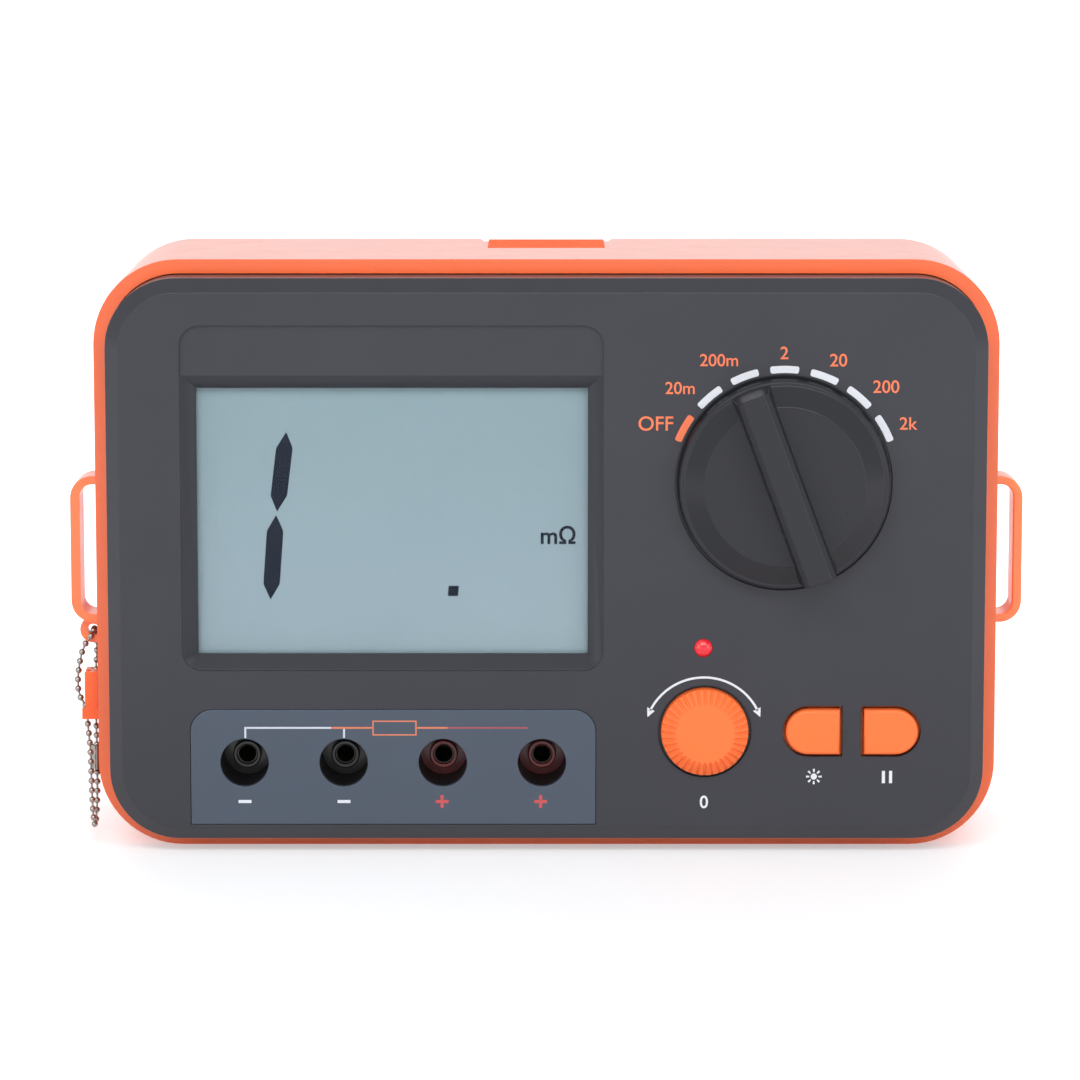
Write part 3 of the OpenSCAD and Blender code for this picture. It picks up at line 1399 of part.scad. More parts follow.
front_cover();
rear_shell();
strap_lug_left();
strap_lug_right();
jack_plate();
display_window();
lcd_panel();
lcd_backlight();
lcd_frame();
zebra_strips();
jack_housings();
current_minus_core();
voltage_minus_core();
voltage_plus_core();
current_plus_core();
contact_sleeves();
solder_tags();
jack_nuts();
jack_links();
range_knob();
switch_rotor();
rotor_screw();
wiper_contacts();
detent_springs();
detent_balls();
zero_knob();
zero_pot_shaft();
zero_pot_body();
power_lamp();
lamp_spacer();
hold_button();
backlight_button();
hold_plunger();
backlight_plunger();
hold_switch();
backlight_switch();
main_board();
board_screws();
converter_chip();
amplifier_chips();
electrolytic_capacitors();
range_resistors();
fuse_clips();
fuse_glass();
fuse_caps();
battery_cells();
contact_springs();
contact_plates();
battery_leads();
battery_cover();
battery_cover_screw();
tilt_stand();
case_screws();
ball_chain();
chain_coupling();
chain_tag();
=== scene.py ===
"""Looks of the four-wire milliohm meter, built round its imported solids.

Lengths are in millimetres until place() or MM turns them into metres. A depth is measured from
the front cover's face towards the back.
"""
import json
import math

import bmesh
import bpy
from mathutils import Matrix, Vector

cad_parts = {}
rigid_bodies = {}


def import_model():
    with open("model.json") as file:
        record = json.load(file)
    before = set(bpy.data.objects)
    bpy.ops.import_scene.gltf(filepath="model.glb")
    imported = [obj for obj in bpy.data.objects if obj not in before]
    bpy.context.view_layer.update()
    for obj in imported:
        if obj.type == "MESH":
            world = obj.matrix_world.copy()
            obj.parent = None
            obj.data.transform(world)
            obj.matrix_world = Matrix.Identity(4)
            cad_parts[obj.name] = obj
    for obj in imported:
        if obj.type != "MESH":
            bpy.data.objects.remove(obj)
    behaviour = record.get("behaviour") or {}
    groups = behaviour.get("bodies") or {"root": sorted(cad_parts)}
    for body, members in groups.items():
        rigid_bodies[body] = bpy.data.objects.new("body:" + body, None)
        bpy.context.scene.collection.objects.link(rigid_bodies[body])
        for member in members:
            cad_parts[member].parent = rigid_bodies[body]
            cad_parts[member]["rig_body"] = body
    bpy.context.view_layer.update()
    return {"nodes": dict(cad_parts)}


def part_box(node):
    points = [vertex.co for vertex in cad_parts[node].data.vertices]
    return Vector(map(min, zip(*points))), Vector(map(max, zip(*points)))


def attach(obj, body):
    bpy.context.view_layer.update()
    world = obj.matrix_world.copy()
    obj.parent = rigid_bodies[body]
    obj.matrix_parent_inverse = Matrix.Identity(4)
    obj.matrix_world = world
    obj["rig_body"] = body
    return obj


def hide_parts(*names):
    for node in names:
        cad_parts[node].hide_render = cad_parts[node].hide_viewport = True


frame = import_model()
NODES = frame["nodes"]
MM = 0.001
FACE_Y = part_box("jack_plate")[0][1] / MM
INK = 0.03  # thickness of a printed mark
CAP_HEIGHT = 0.729  # a capital's height as a share of the letters' size


def place(x, depth, z):
    """Point at x and z, at a depth behind the face, in metres."""
    return Vector((x, FACE_Y + depth, z)) * MM


# Colours and node helpers


def screen(red, green, blue):
    """Colour as it shows on a screen, 0 to 255, turned into the renderer's numbers."""
    parts = [v / 255 for v in (red, green, blue)]
    return tuple(p / 12.92 if p <= 0.04 else ((p + 0.055) / 1.055) ** 2.4 for p in parts)


def shade(colour, factor):
    """Colour made lighter or darker, with its alpha of one."""
    return tuple(min(1.0, c * factor) for c in colour) + (1.0,)


class Finish:
    """A material with the nodes that vary its colour, gloss and surface over the piece."""

    def __init__(self, name, **sockets):
        self.material = bpy.data.materials.new(name)
        self.material.use_nodes = True
        self.nodes = self.material.node_tree.nodes
        self.links = self.material.node_tree.links
        self.shader = self.nodes["Principled BSDF"]
        for socket, value in sockets.items():
            self.shader.inputs[socket.replace("_", " ")].default_value = value
        self.at = self.nodes.new("ShaderNodeTexCoord").outputs["Object"]

    def add(self, kind, settings=None, **inputs):
        """New node. An input is a value, or another node's output to link."""
        node = self.nodes.new(kind)
        for key, value in (settings or {}).items():
            setattr(node, key, value)
        for key, value in inputs.items():
            socket = node.inputs[key.replace("_", " ")]
            if isinstance(value, bpy.types.NodeSocket):
                self.links.new(value, socket)
            else:
                socket.default_value = value
        return node

    def noise(self, size, detail=2.0, stretch=None):
        """Noise whose lumps are about this many millimetres, drawn out along the axes."""
        at = self.at
        if stretch:
            at = self.add("ShaderNodeMapping", Vector=at, Scale=stretch).outputs["Vector"]
        return self.add("ShaderNodeTexNoise", Vector=at, Scale=1 / (size * MM),
                        Detail=detail).outputs["Fac"]

    def between(self, value, low, high, start=0.15, end=0.85):
        """Value from start to end, spread over low to high."""
        node = self.add("ShaderNodeMapRange", {"interpolation_type": "SMOOTHSTEP"}, Value=value)
        node.inputs["From Min"].default_value = start
        node.inputs["From Max"].default_value = end
        node.inputs["To Min"].default_value = low
        node.inputs["To Max"].default_value = high
        return node.outputs["Result"]

    def blend(self, share, first, second):
        """Colour between two colours, which are values or outputs."""
        node = self.nodes.new("ShaderNodeMix")
        node.data_type = "RGBA"
        self.links.new(share, node.inputs[0])
        for socket, value in ((node.inputs[6], first), (node.inputs[7], second)):
            if isinstance(value, bpy.types.NodeSocket):
                self.links.new(value, socket)
            else:
                socket.default_value = value
        return node.outputs[2]

    def colour(self, output):
        self.links.new(output, self.shader.inputs["Base Color"])
        return self

    def drift(self, colour, amount, size=30.0, speck=0.0):
        """Base colour that drifts slowly over the piece, with finer specks."""
        tone = self.blend(self.between(self.noise(size), 0, 1), shade(colour, 1 - amount),
                          shade(colour, 1 + amount))
        if speck:
            fleck = self.between(self.noise(0.5, 3.0), 0, 1, 0.45, 0.75)
            tone = self.blend(self.between(fleck, 0, speck, 0, 1), tone, shade(colour, 1.6))
        return self.colour(tone)

    def gloss(self, low, high, size=8.0):
        """Roughness that varies between two values."""
        self.links.new(self.between(self.noise(size), low, high), self.shader.inputs["Roughness"])
        return self

    def relief(self, size, depth, stretch=None):
        """Fine surface texture: lumps of a size and depth in millimetres."""
        bump = self.add("ShaderNodeBump", Strength=1.0, Distance=depth * MM,
                        Height=self.noise(size, 3.0, stretch))
        self.links.new(bump.outputs["Normal"], self.shader.inputs["Normal"])
        return self


def moulded(name, colour, low, high, grain=0.35, depth=0.02, amount=0.05, **sockets):
    """Moulded plastic with a spark-eroded texture."""
    finish = Finish(name, **sockets).drift(colour, amount, speck=0.08).gloss(low, high)
    return finish.relief(grain, depth).material


def metal(name, colour, low, high, stretch=(1, 1, 14), depth=0.006, **sockets):
    """Metal with fine drawing marks along one axis."""
    finish = Finish(name, Metallic=1.0, **sockets).drift(colour, 0.07, 6.0).gloss(low, high, 2.0)
    return finish.relief(0.9, depth, stretch=stretch).material


ORANGE = screen(246, 101, 42)
COVER_GREY = screen(47, 48, 55)

cover_plastic = moulded("cover_plastic", COVER_GREY, 0.27, 0.36, 0.4, 0.006, 0.05,
                        Specular_IOR_Level=0.35)
knob_plastic = moulded("knob_plastic", screen(33, 34, 40), 0.27, 0.3, 0.35, 0.002, 0.02,
                       Specular_IOR_Level=0.3)
shell_plastic = moulded("shell_plastic", ORANGE, 0.22, 0.26, 0.5, 0.0006, 0.04,
                        Coat_Weight=0.45, Coat_Roughness=0.22)
grip_plastic = moulded("grip_plastic", ORANGE, 0.62, 0.74, 0.45, 0.02, 0.04)
control_plastic = moulded("control_plastic", screen(255, 114, 50), 0.4, 0.5, 0.3, 0.008, 0.03)
lug_plastic = moulded("lug_plastic", screen(252, 122, 62), 0.3, 0.42, 0.4, 0.008, 0.03,
                      Coat_Weight=0.6, Coat_Roughness=0.2)
plate_finish = moulded("plate_finish", screen(68, 77, 91), 0.3, 0.38, 0.25, 0.004, 0.03,
                       Specular_IOR_Level=0.35)
jack_black = moulded("jack_black", screen(14, 15, 19), 0.16, 0.24, 0.3, 0.003)
# Jack housings: near-black, darker than the jack cores, as painted shade for the deep wells, the
# red jacks' wells included.
well_painted_shade = moulded("well_painted_shade", screen(10, 11, 15), 0.4, 0.5, 0.3, 0.004)
jack_red = moulded("jack_red", screen(128, 14, 26), 0.16, 0.26, 0.3, 0.003)
white_plastic = moulded("white_plastic", screen(232, 232, 226), 0.4, 0.5)
dark_plastic = moulded("dark_plastic", screen(34, 34, 38), 0.4, 0.55)
light_guide = moulded("light_guide", screen(238, 242, 242), 0.2, 0.35, 0.3, 0.004)
strip_rubber = moulded("strip_rubber", screen(40, 40, 44), 0.7, 0.85)
lead_rubber = moulded("lead_rubber", screen(178, 30, 30), 0.45, 0.6)
resistor_coat = moulded("resistor_coat", screen(96, 150, 190), 0.35, 0.5)
chip_plastic = moulded("chip_plastic", screen(38, 38, 40), 0.5, 0.65)
tag_plastic = moulded("tag_plastic", screen(250, 100, 40), 0.28, 0.4, 0.4, 0.01,
                      Subsurface_Weight=0.15)
white_ink = moulded("white_ink", screen(214, 217, 224), 0.45, 0.6, 0.3, 0.003)
orange_ink = moulded("orange_ink", screen(236, 118, 76), 0.45, 0.6, 0.3, 0.003)
red_ink = moulded("red_ink", screen(190, 74, 76), 0.45, 0.6, 0.3, 0.003)
line_orange = moulded("line_orange", screen(205, 118, 88), 0.45, 0.6, 0.3, 0.003)
line_red = moulded("line_red", screen(160, 76, 82), 0.45, 0.6, 0.3, 0.003)
line_white = moulded("line_white", screen(196, 201, 212), 0.45, 0.6, 0.3, 0.003)
segment_ink = moulded("segment_ink", screen(14, 24, 42), 0.3, 0.4, 0.3, 0.002,
                      Specular_IOR_Level=0.15)
faint_segment_ink = moulded("faint_segment_ink", screen(132, 156, 170), 0.3, 0.4, 0.3, 0.002)
brass = metal("contact_brass", screen(214, 180, 112), 0.18, 0.32)
# Contact sleeves: nickel darkened as painted shade, so their fronts read dark deep in the jack
# holes.
nickel_painted_shade = metal("nickel_painted_shade", screen(92, 88, 82), 0.4, 0.55, depth=0.002)
tin = metal("tinned_metal", screen(205, 205, 200), 0.28, 0.42)
steel = metal("screw_steel", screen(196, 197, 200), 0.2, 0.36)
bead_steel = metal("bead_steel", screen(150, 146, 142), 0.1, 0.22, (1, 1, 1), 0.002)


def make_display_tone():
    """Display: blue-grey, a little greener and darker towards its top."""
    finish = Finish("display_tone", Coat_Weight=0.3, Coat_Roughness=0.1)
    height = finish.add("ShaderNodeSeparateXYZ", Vector=finish.at).outputs["Z"]
    low, high = (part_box("lcd_panel")[i][2] for i in (0, 1))
    rise = finish.between(height, 0, 1, low, high)
    drift = finish.blend(finish.between(finish.noise(40.0), 0, 1),
                         screen(151, 174, 184) + (1.0,), screen(145, 168, 179) + (1.0,))
    finish.colour(finish.blend(rise, drift, screen(136, 162, 171) + (1.0,)))
    return finish.gloss(0.3, 0.42).relief(0.3, 0.0003).material


def make_clear(name, colour, alpha, rough):
    """Clear plastic or glass, with a smooth skin."""
    finish = Finish(name, Alpha=alpha, Coat_Weight=0.3, Coat_Roughness=0.04)
    return finish.drift(colour, 0.02).gloss(rough, rough + 0.04).material


def make_lamp_red():
    """Tinted lamp body, a little lit from inside."""
    finish = Finish("lamp_red", Coat_Weight=0.3, Coat_Roughness=0.08, Emission_Strength=0.08,
                    Emission_Color=screen(255, 30, 40) + (1.0,))
    return finish.drift(screen(222, 26, 42), 0.05, 2.0).gloss(0.12, 0.22, 2.0).material


def make_board_green():
    """Circuit board: solder mask over the weave of the glass cloth, with faint tracks."""
    finish = Finish("board_green", Coat_Weight=0.4, Coat_Roughness=0.15)
    base = screen(28, 104, 62)
    tracks = finish.add("ShaderNodeTexBrick", Vector=finish.at, Scale=1 / (6 * MM),
                        Color1=shade(base, 1.0), Color2=shade(base, 1.12), Mortar=shade(base, 1.5))
    tracks.inputs["Mortar Size"].default_value = 0.05
    finish.colour(tracks.outputs["Color"])
    return finish.gloss(0.3, 0.4).relief(0.6, 0.01).material


def make_cell_jacket():
    """Battery jacket: printed film, dark over most of the cell."""
    finish = Finish("cell_jacket", Coat_Weight=0.6, Coat_Roughness=0.1, Metallic=0.4)
    return finish.drift(screen(40, 76, 140), 0.12, 12.0).gloss(0.2, 0.34).relief(
        1.2, 0.006).material


display_tone = make_display_tone()
window_clear = make_clear("window_clear", screen(30, 34, 38), 0.06, 0.04)
fuse_clear = make_clear("fuse_clear", screen(232, 240, 240), 0.25, 0.03)
lamp_red = make_lamp_red()
board_green = make_board_green()
capacitor_sleeve = moulded("capacitor_sleeve", screen(34, 44, 92), 0.25, 0.4)
cell_jacket = make_cell_jacket()

INNER_FINISHES = {
    light_guide: ["lcd_backlight"],
    display_tone: ["lcd_panel"],
    window_clear: ["display_window"],
    white_plastic: ["lcd_frame", "switch_rotor"],
    strip_rubber: ["zebra_strips"],
    well_painted_shade: ["jack_housings"],
    brass: ["jack_nuts", "wiper_contacts"],
    nickel_painted_shade: ["contact_sleeves"],
    tin: ["solder_tags", "jack_links", "zero_pot_body", "hold_switch", "backlight_switch",
          "fuse_clips", "fuse_caps", "contact_plates"],
    steel: ["rotor_screw", "detent_springs", "detent_balls", "zero_pot_shaft", "board_screws",
            "contact_springs", "battery_cover_screw", "case_screws"],
    lamp_red: ["power_lamp"],
    dark_plastic: ["lamp_spacer", "hold_plunger", "backlight_plunger"],
    board_green: ["main_board"],
    chip_plastic: ["converter_chip", "amplifier_chips"],
    capacitor_sleeve: ["electrolytic_capacitors"],
    resistor_coat: ["range_resistors"],
    fuse_clear: ["fuse_glass"],
    cell_jacket: ["battery_cells"],
    lead_rubber: ["battery_leads"],
    bead_steel: ["chain_coupling"],
}


def paint_node(node, material):
    """Gives a solid one material all over."""
    slots = NODES[node].data.materials
    if len(slots) == 0:
        slots.append(material)
    for index in range(len(slots)):
        slots[index] = material


for material, members in INNER_FINISHES.items():
    for member in members:
        paint_node(member, material)


# Pieces


def add_piece(name, bm, material, body):
    """A piece from a bmesh that is already in place."""
    mesh = bpy.data.meshes.new(name)
    bm.to_mesh(mesh)
    bm.free()
    mesh.materials.append(material)
    piece = bpy.data.objects.new(name, mesh)
    bpy.context.scene.collection.objects.link(piece)
    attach(piece, body)
    return piece


def eased(node, name, material, edge, share=lambda middle: 1.0, sharp=28.0, segments=3):
    """Copy of a node whose sharp edges are rounded a little, as a mould leaves them.

    An edge gets the share of the radius that fits its middle, given as x, depth and z.
    """
    bm = bmesh.new()
    bm.from_mesh(NODES[node].data)
    bmesh.ops.remove_doubles(bm, verts=bm.verts, dist=0.002 * MM)
    bmesh.ops.dissolve_limit(bm, angle_limit=math.radians(0.4), verts=bm.verts, edges=bm.edges)
    weight = bm.edges.layers.float.new("bevel_weight_edge")
    for face in bm.faces:
        face.smooth = True
    for line in bm.edges:
        if not line.is_manifold or line.calc_face_angle(0.0) < math.radians(sharp):
            continue
        middle = (line.verts[0].co + line.verts[1].co) / 2
        line[weight] = share(Vector((middle.x / MM, middle.y / MM - FACE_Y, middle.z / MM)))
        line.smooth = line[weight] > 0
    piece = add_piece(name, bm, material, NODES[node]["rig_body"])
    soften = piece.modifiers.new("eased_edges", "BEVEL")
    soften.limit_method = "WEIGHT"
    soften.width = edge * MM
    soften.segments = segments
    level = piece.modifiers.new("level_faces", "WEIGHTED_NORMAL")
    level.keep_sharp = True
    level.weight = 100
    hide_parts(node)
    return piece


def flat_mark(name, outline, depth, material):
    """Printed mark on a flat surface, from its outline in x and z."""
    bm = bmesh.new()
    corners = [bm.verts.new(place(x, depth, z)) for x, z in outline]
    bm.faces.new(corners)
    raise_mark(bm)
    return add_piece(name, bm, material, "housing")


def raise_mark(bm):
    """Gives a flat shape the thickness of a coat of ink, towards the front."""
    grown = bmesh.ops.extrude_face_region(bm, geom=list(bm.faces))
    lifted = [v for v in grown["geom"] if isinstance(v, bmesh.types.BMVert)]
    bmesh.ops.translate(bm, verts=lifted, vec=(0, -INK * MM, 0))
    bmesh.ops.recalc_face_normals(bm, faces=bm.faces)


def swept_mark(name, centre, inner, outer, start, end, depth, material, rounded=0.0, steps=12):
    """Printed band round a centre, between two radii and two angles from straight up."""
    bm = bmesh.new()
    hub = place(centre[0], depth, centre[1])
    turn = Matrix.Rotation(math.radians(start), 3, "Y")
    ends = [bm.verts.new(hub + turn @ Vector((0, 0, r * MM))) for r in (inner, outer)]
    bm.edges.new(ends)
    bmesh.ops.spin(bm, geom=list(bm.verts) + list(bm.edges), cent=hub, axis=(0, 1, 0),
                   angle=math.radians(end - start), steps=steps,
                   use_merge=end - start == 360)
    raise_mark(bm)
    if rounded:
        upright = [line for line in bm.edges
                   if abs((line.verts[0].co - line.verts[1].co).y) > INK * MM / 2
                   and line.calc_face_angle(0.0) > math.radians(60)]
        bmesh.ops.bevel(bm, geom=upright, offset=rounded * MM, affect="EDGES", segments=4,
                        profile=0.5, material=-1)
    return add_piece(name, bm, material, "housing")


def lettering(name, text, x, z, height, depth, material, weight=0.0):
    """Number or sign printed on a flat surface, about its middle."""
    curve = bpy.data.curves.new(name, "FONT")
    curve.body = text
    curve.size = height * MM / CAP_HEIGHT
    curve.align_x = "CENTER"
    curve.offset = weight * MM
    curve.extrude = INK * MM / 2
    shown = bpy.data.objects.new(name + "_curve", curve)
    bpy.context.scene.collection.objects.link(shown)
    bpy.context.view_layer.update()
    mesh = bpy.data.meshes.new_from_object(
        shown.evaluated_get(bpy.context.evaluated_depsgraph_get()))
    bpy.data.objects.remove(shown)
    upright = Matrix.Translation(place(x, depth - INK / 2, z - height / 2))
    mesh.transform(upright @ Matrix.Rotation(math.radians(90), 4, "X"))
    bm = bmesh.new()
    bm.from_mesh(mesh)
    bpy.data.meshes.remove(mesh)
    bmesh.ops.remove_doubles(bm, verts=bm.verts, dist=0.004 * MM)
    return add_piece(name, bm, material, "housing")


# Case and controls

COVER_SIDE, COVER_LOW, COVER_HIGH = 93.5, 8.2, 125.0  # where the cover's outer bevel starts
COVER_BEVEL_DEPTH, COVER_FACE_DEPTH = 6.0, 1.5


def cover_share(at):
    """The cover's outer bevel is rounded most, the edges round its openings less."""
    if abs(at.x) > COVER_SIDE or at.z > COVER_HIGH or at.z < COVER_LOW:
        return 1.0 if at.y < COVER_BEVEL_DEPTH else 0.0
    return 0.35 if at.y < COVER_FACE_DEPTH else 0.0


def in_front_of(depth):
    """Share that rounds the edges before a depth fully, and the rest not at all."""
    return lambda at: 1.0 if at.y < depth else 0.0


eased("front_cover", "front_cover_eased", cover_plastic, 0.75, cover_share)
eased("rear_shell", "rear_shell_eased", shell_plastic, 0.5,
      lambda at: 1.0 if at.y < 12.5 or at.y > 60 or at.z > 131 else 0.0)
eased("strap_lug_left", "strap_lug_left_eased", lug_plastic, 0.4)
eased("strap_lug_right", "strap_lug_right_eased", lug_plastic, 0.4)
eased("jack_plate", "jack_plate_eased", plate_finish, 0.2)
eased("range_knob", "range_knob_eased", knob_plastic, 0.5, in_front_of(0.2))
eased("zero_knob", "zero_knob_eased", control_plastic, 0.16, in_front_of(-1),
      sharp=20.0, segments=2)
for button in ("hold_button", "backlight_button"):
    eased(button, button + "_eased", control_plastic, 0.8, in_front_of(0),
          segments=4)
eased("battery_cover", "battery_cover_eased", shell_plastic, 0.35,
      lambda at: 1.0 if at.y > 69 else 0.0)
eased("tilt_stand", "tilt_stand_eased", shell_plastic, 0.35)
eased("chain_tag", "chain_tag_eased", tag_plastic, 0.35)
for part, finish in (("current_minus", jack_black), ("voltage_minus", jack_black),
                     ("voltage_plus", jack_red), ("current_plus", jack_red)):
    core = part + "_core"
    eased(core, core + "_eased", finish,
          0.3, in_front_of(11))

# Moulded ribs on the battery cover and in the thumb notch

COVER_RIBS, COVER_RIB_PITCH, COVER_RIBS_UP = 5, 2.4, 0.2
COVER_RIB_SIZE, COVER_RIB_EASE, COVER_RIB_SUNK = (26.0, 1.0, 1.0), 0.3, 0.1
NOTCH_DEEP, NOTCH_LENGTH = 0.8, 29.0
GRIP_RIBS, GRIP_PITCH = 15, 1.8
GRIP_RIB_SIZE, GRIP_RIB_EASE = (27.0, 0.9, 0.9), 0.2


def in_row(number, count, pitch):
    """How far one of a row of things is from the row's middle."""
    return (number - (count - 1) / 2) * pitch


def add_rib(bm, size, middle):
    """Bar of a size, lying half in the surface that it stands on."""
    added = bmesh.ops.create_cube(bm, size=1.0)["verts"]
    bmesh.ops.scale(bm, verts=added, vec=Vector(size) * MM)
    bmesh.ops.translate(bm, verts=added, vec=middle)


def finish_ribs(name, bm, ease, material):
    """Piece from ribs, with their edges rounded."""
    bmesh.ops.bevel(bm, geom=list(bm.edges), offset=ease * MM, affect="EDGES", segments=3,
                    profile=0.5, material=-1)
    for face in bm.faces:
        face.smooth = True
    add_piece(name, bm, material, "housing")


def make_battery_cover_ribs():
    """Row of ribs across the lower part of the battery cover."""
    low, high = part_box("battery_cover")
    x = (low[0] + high[0]) / 2 / MM
    z = (low[2] + (high[2] - low[2]) * COVER_RIBS_UP) / MM
    depth = high[1] / MM - FACE_Y - COVER_RIB_SUNK
    for rib in range(COVER_RIBS):
        bm = bmesh.new()
        add_rib(bm, COVER_RIB_SIZE, place(x, depth, z + in_row(rib, COVER_RIBS, COVER_RIB_PITCH)))
        finish_ribs(f"battery_grip_rib_{rib}", bm, COVER_RIB_EASE, shell_plastic)


def make_thumb_grip():
    """Fine ribs across the floor of the thumb notch in the shell's top."""
    _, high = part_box("rear_shell")
    floor, back = high[2] / MM - NOTCH_DEEP, high[1] / MM - FACE_Y
    bm = bmesh.new()
    for rib in range(GRIP_RIBS):
        depth = back - NOTCH_LENGTH / 2 + in_row(rib, GRIP_RIBS, GRIP_PITCH)
        add_rib(bm, GRIP_RIB_SIZE, place(0, depth, floor))
    finish_ribs("thumb_grip", bm, GRIP_RIB_EASE, grip_plastic)


make_battery_cover_ribs()
make_thumb_grip()

# Printed dial

KNOB_X, KNOB_Z = 52.7, 84.4
DIAL_STEP = 20.4
DIAL_MARK_INNER, DIAL_MARK_OUTER, DIAL_MARK_HALF, DIAL_MARK_ROUND = 24.55, 26.15, 7.2, 0.45
DIAL_LABELS = [("OFF", 24.2, 97.8, 3.3), ("20m", 29.6, 105.7, 2.8), ("200m", 38.2, 111.9, 2.8),
               ("2", 52.6, 113.5, 2.9), ("20", 64.6, 111.9, 2.9), ("200", 75.2, 106.0, 2.9),
               ("2k", 80.1, 97.8, 2.9)]
for number, (text, x, z, height) in enumerate(DIAL_LABELS):
    angle = (number - 3) * DIAL_STEP
    swept_mark(f"dial_mark_{number}", (KNOB_X, KNOB_Z), DIAL_MARK_INNER, DIAL_MARK_OUTER,
               angle - DIAL_MARK_HALF, angle + DIAL_MARK_HALF, 0,
               orange_ink if number == 0 else white_ink, DIAL_MARK_ROUND)
    lettering(f"dial_label_{number}", text, x, z, height, 0, orange_ink, weight=0.03)

# Marks round the zero knob and under the buttons

ZERO_X, ZERO_Z = 35.2, 27.2
swept_mark("zero_arc", (ZERO_X, ZERO_Z), 13.1, 13.6, -64, 64, 0, white_ink, steps=40)
for side in (-1, 1):
    tip = math.radians(side * 71)
    across = math.radians(side * 62.5)
    flat_mark(f"zero_arrow_{'left' if side < 0 else 'right'}",
              [(ZERO_X + r * math.sin(a), ZERO_Z + r * math.cos(a))
               for r, a in ((13.35, tip), (12.4, across), (14.3, across))],
              0, white_ink)
lettering("zero_mark", "0", 35.3, 12.3, 2.9, 0, white_ink, weight=0.05)

SUN_X, SUN_Z = 59.9, 18.0
swept_mark("sun_mark", (SUN_X, SUN_Z), 0.02, 0.7, 0, 360, 0, white_ink, steps=24)
for ray in range(8):
    angle = ray * 45
    swept_mark(f"sun_ray_{ray}", (SUN_X, SUN_Z), 1.0, 1.75, angle - 8, angle + 8, 0, white_ink,
               steps=3)
for side in (-1, 1):
    flat_mark(f"pause_bar_{'left' if side < 0 else 'right'}",
              [(76.3 + side * 0.8 + w, 17.9 + h)
               for w, h in ((-0.35, -1.4), (0.35, -1.4), (0.35, 1.4), (-0.35, 1.4))],
              0, white_ink)

# Lines and signs on the jack plate


def stroke(name, x0, z0, x1, z1, material, wide):
    """Straight printed line between two points, along x or z."""
    half = wide / 2
    flat_mark(name, [(min(x0, x1) - half, min(z0, z1) - half),
                     (max(x0, x1) + half, min(z0, z1) - half),
                     (max(x0, x1) + half, max(z0, z1) + half),
                     (min(x0, x1) - half, max(z0, z1) + half)],
              0, material)


LINE_Z, DROP_Z = 29.1, 27.0
LEAD_WIDE, THIN_LEAD_WIDE, BOX_LINE_WIDE = 0.42, 0.34, 0.32
for name, x0, z0, x1, z1, ink, wide in (
        ("lead_line_left_drop", -67.4, DROP_Z, -67.4, LINE_Z, line_white, LEAD_WIDE),
        ("lead_line_left", -66.95, LINE_Z, -48.4, LINE_Z, line_white, LEAD_WIDE),
        ("lead_line_second_drop", -45.3, DROP_Z, -45.3, LINE_Z - 0.45, line_white, LEAD_WIDE),
        ("lead_line_to_box", -47.95, LINE_Z, -39.25, LINE_Z, line_orange, LEAD_WIDE),
        ("lead_line_from_box", -28.75, LINE_Z, -22.3, LINE_Z, line_orange, LEAD_WIDE),
        ("lead_line_right", -21.85, LINE_Z, -4.4, LINE_Z, line_red, THIN_LEAD_WIDE)):
    stroke(name, x0, z0, x1, z1, ink, wide)

BOX_LEFT, BOX_LOW, BOX_RIGHT, BOX_HIGH = -38.8, 27.5, -29.2, 30.6
CORNER_GAP = 0.35  # keeps the upright lines of the box clear of the level ones
for end, z in (("low", BOX_LOW), ("high", BOX_HIGH)):
    stroke(f"resistor_box_{end}", BOX_LEFT, z, BOX_RIGHT, z, line_orange, BOX_LINE_WIDE)
for end, x in (("left", BOX_LEFT), ("right", BOX_RIGHT)):
    stroke(f"resistor_box_{end}", x, BOX_LOW + CORNER_GAP, x, BOX_HIGH - CORNER_GAP,
           line_orange, BOX_LINE_WIDE)

SIGN_Z, SIGN_REACH, SIGN_WIDE, SIGN_INNER = 12.3, 1.1, 0.7, 0.75
SIGNS = [(-67.6, white_ink, False), (-45.4, white_ink, False), (-23.4, red_ink, True),
         (-1.3, red_ink, True)]
for number, (x, ink, is_plus) in enumerate(SIGNS):
    stroke(f"sign_bar_{number}", x - SIGN_REACH, SIGN_Z, x + SIGN_REACH, SIGN_Z, ink, SIGN_WIDE)
    if is_plus:
        for side in (-1, 1):
            stroke(f"sign_upright_{number}_{side + 1}", x, SIGN_Z + side * SIGN_INNER, x,
                   SIGN_Z + side * SIGN_REACH, ink, SIGN_WIDE)

# Display: two strokes of a slanted figure one, the point and the unit

DISPLAY_DEPTH = (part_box("lcd_panel")[0][1] / MM) - FACE_Y


def display_segment(name, top, bottom, wide):
    """Slanted six-sided stroke between its two tips."""
    (x1, z1), (x0, z0) = top, bottom
    lean = (x1 - x0) / (z1 - z0)
    neck = 1.5 * wide / 2 + 0.8
    outline = [(x0, z0)]
    for side, z in ((1, z0 + neck), (1, z1 - neck)):
        outline.append((x0 + lean * (z - z0) + side * wide / 2, z))
    outline.append((x1, z1))
    for side, z in ((-1, z1 - neck), (-1, z0 + neck)):
        outline.append((x0 + lean * (z - z0) + side * wide / 2, z))
    flat_mark(name, outline, DISPLAY_DEPTH, segment_ink)


display_segment("digit_upper", (-58.0, 95.1), (-60.2, 77.2), 3.7)
display_segment("digit_lower", (-60.4, 76.4), (-61.8, 57.3), 3.7)
flat_mark("decimal_point", [(-22.1, 58.1), (-19.8, 58.1), (-19.6, 60.4), (-21.9, 60.4)],
          DISPLAY_DEPTH, segment_ink)
flat_mark("faint_point", [(-21.3, 90.2), (-20.4, 90.2), (-20.3, 91.0), (-21.2, 91.0)],
          DISPLAY_DEPTH, faint_segment_ink)
lettering("display_unit", "mΩ", 2.6, 71.9, 3.9, DISPLAY_DEPTH, segment_ink,
          weight=0.1)

# Bead chain, on the same loop as its solid

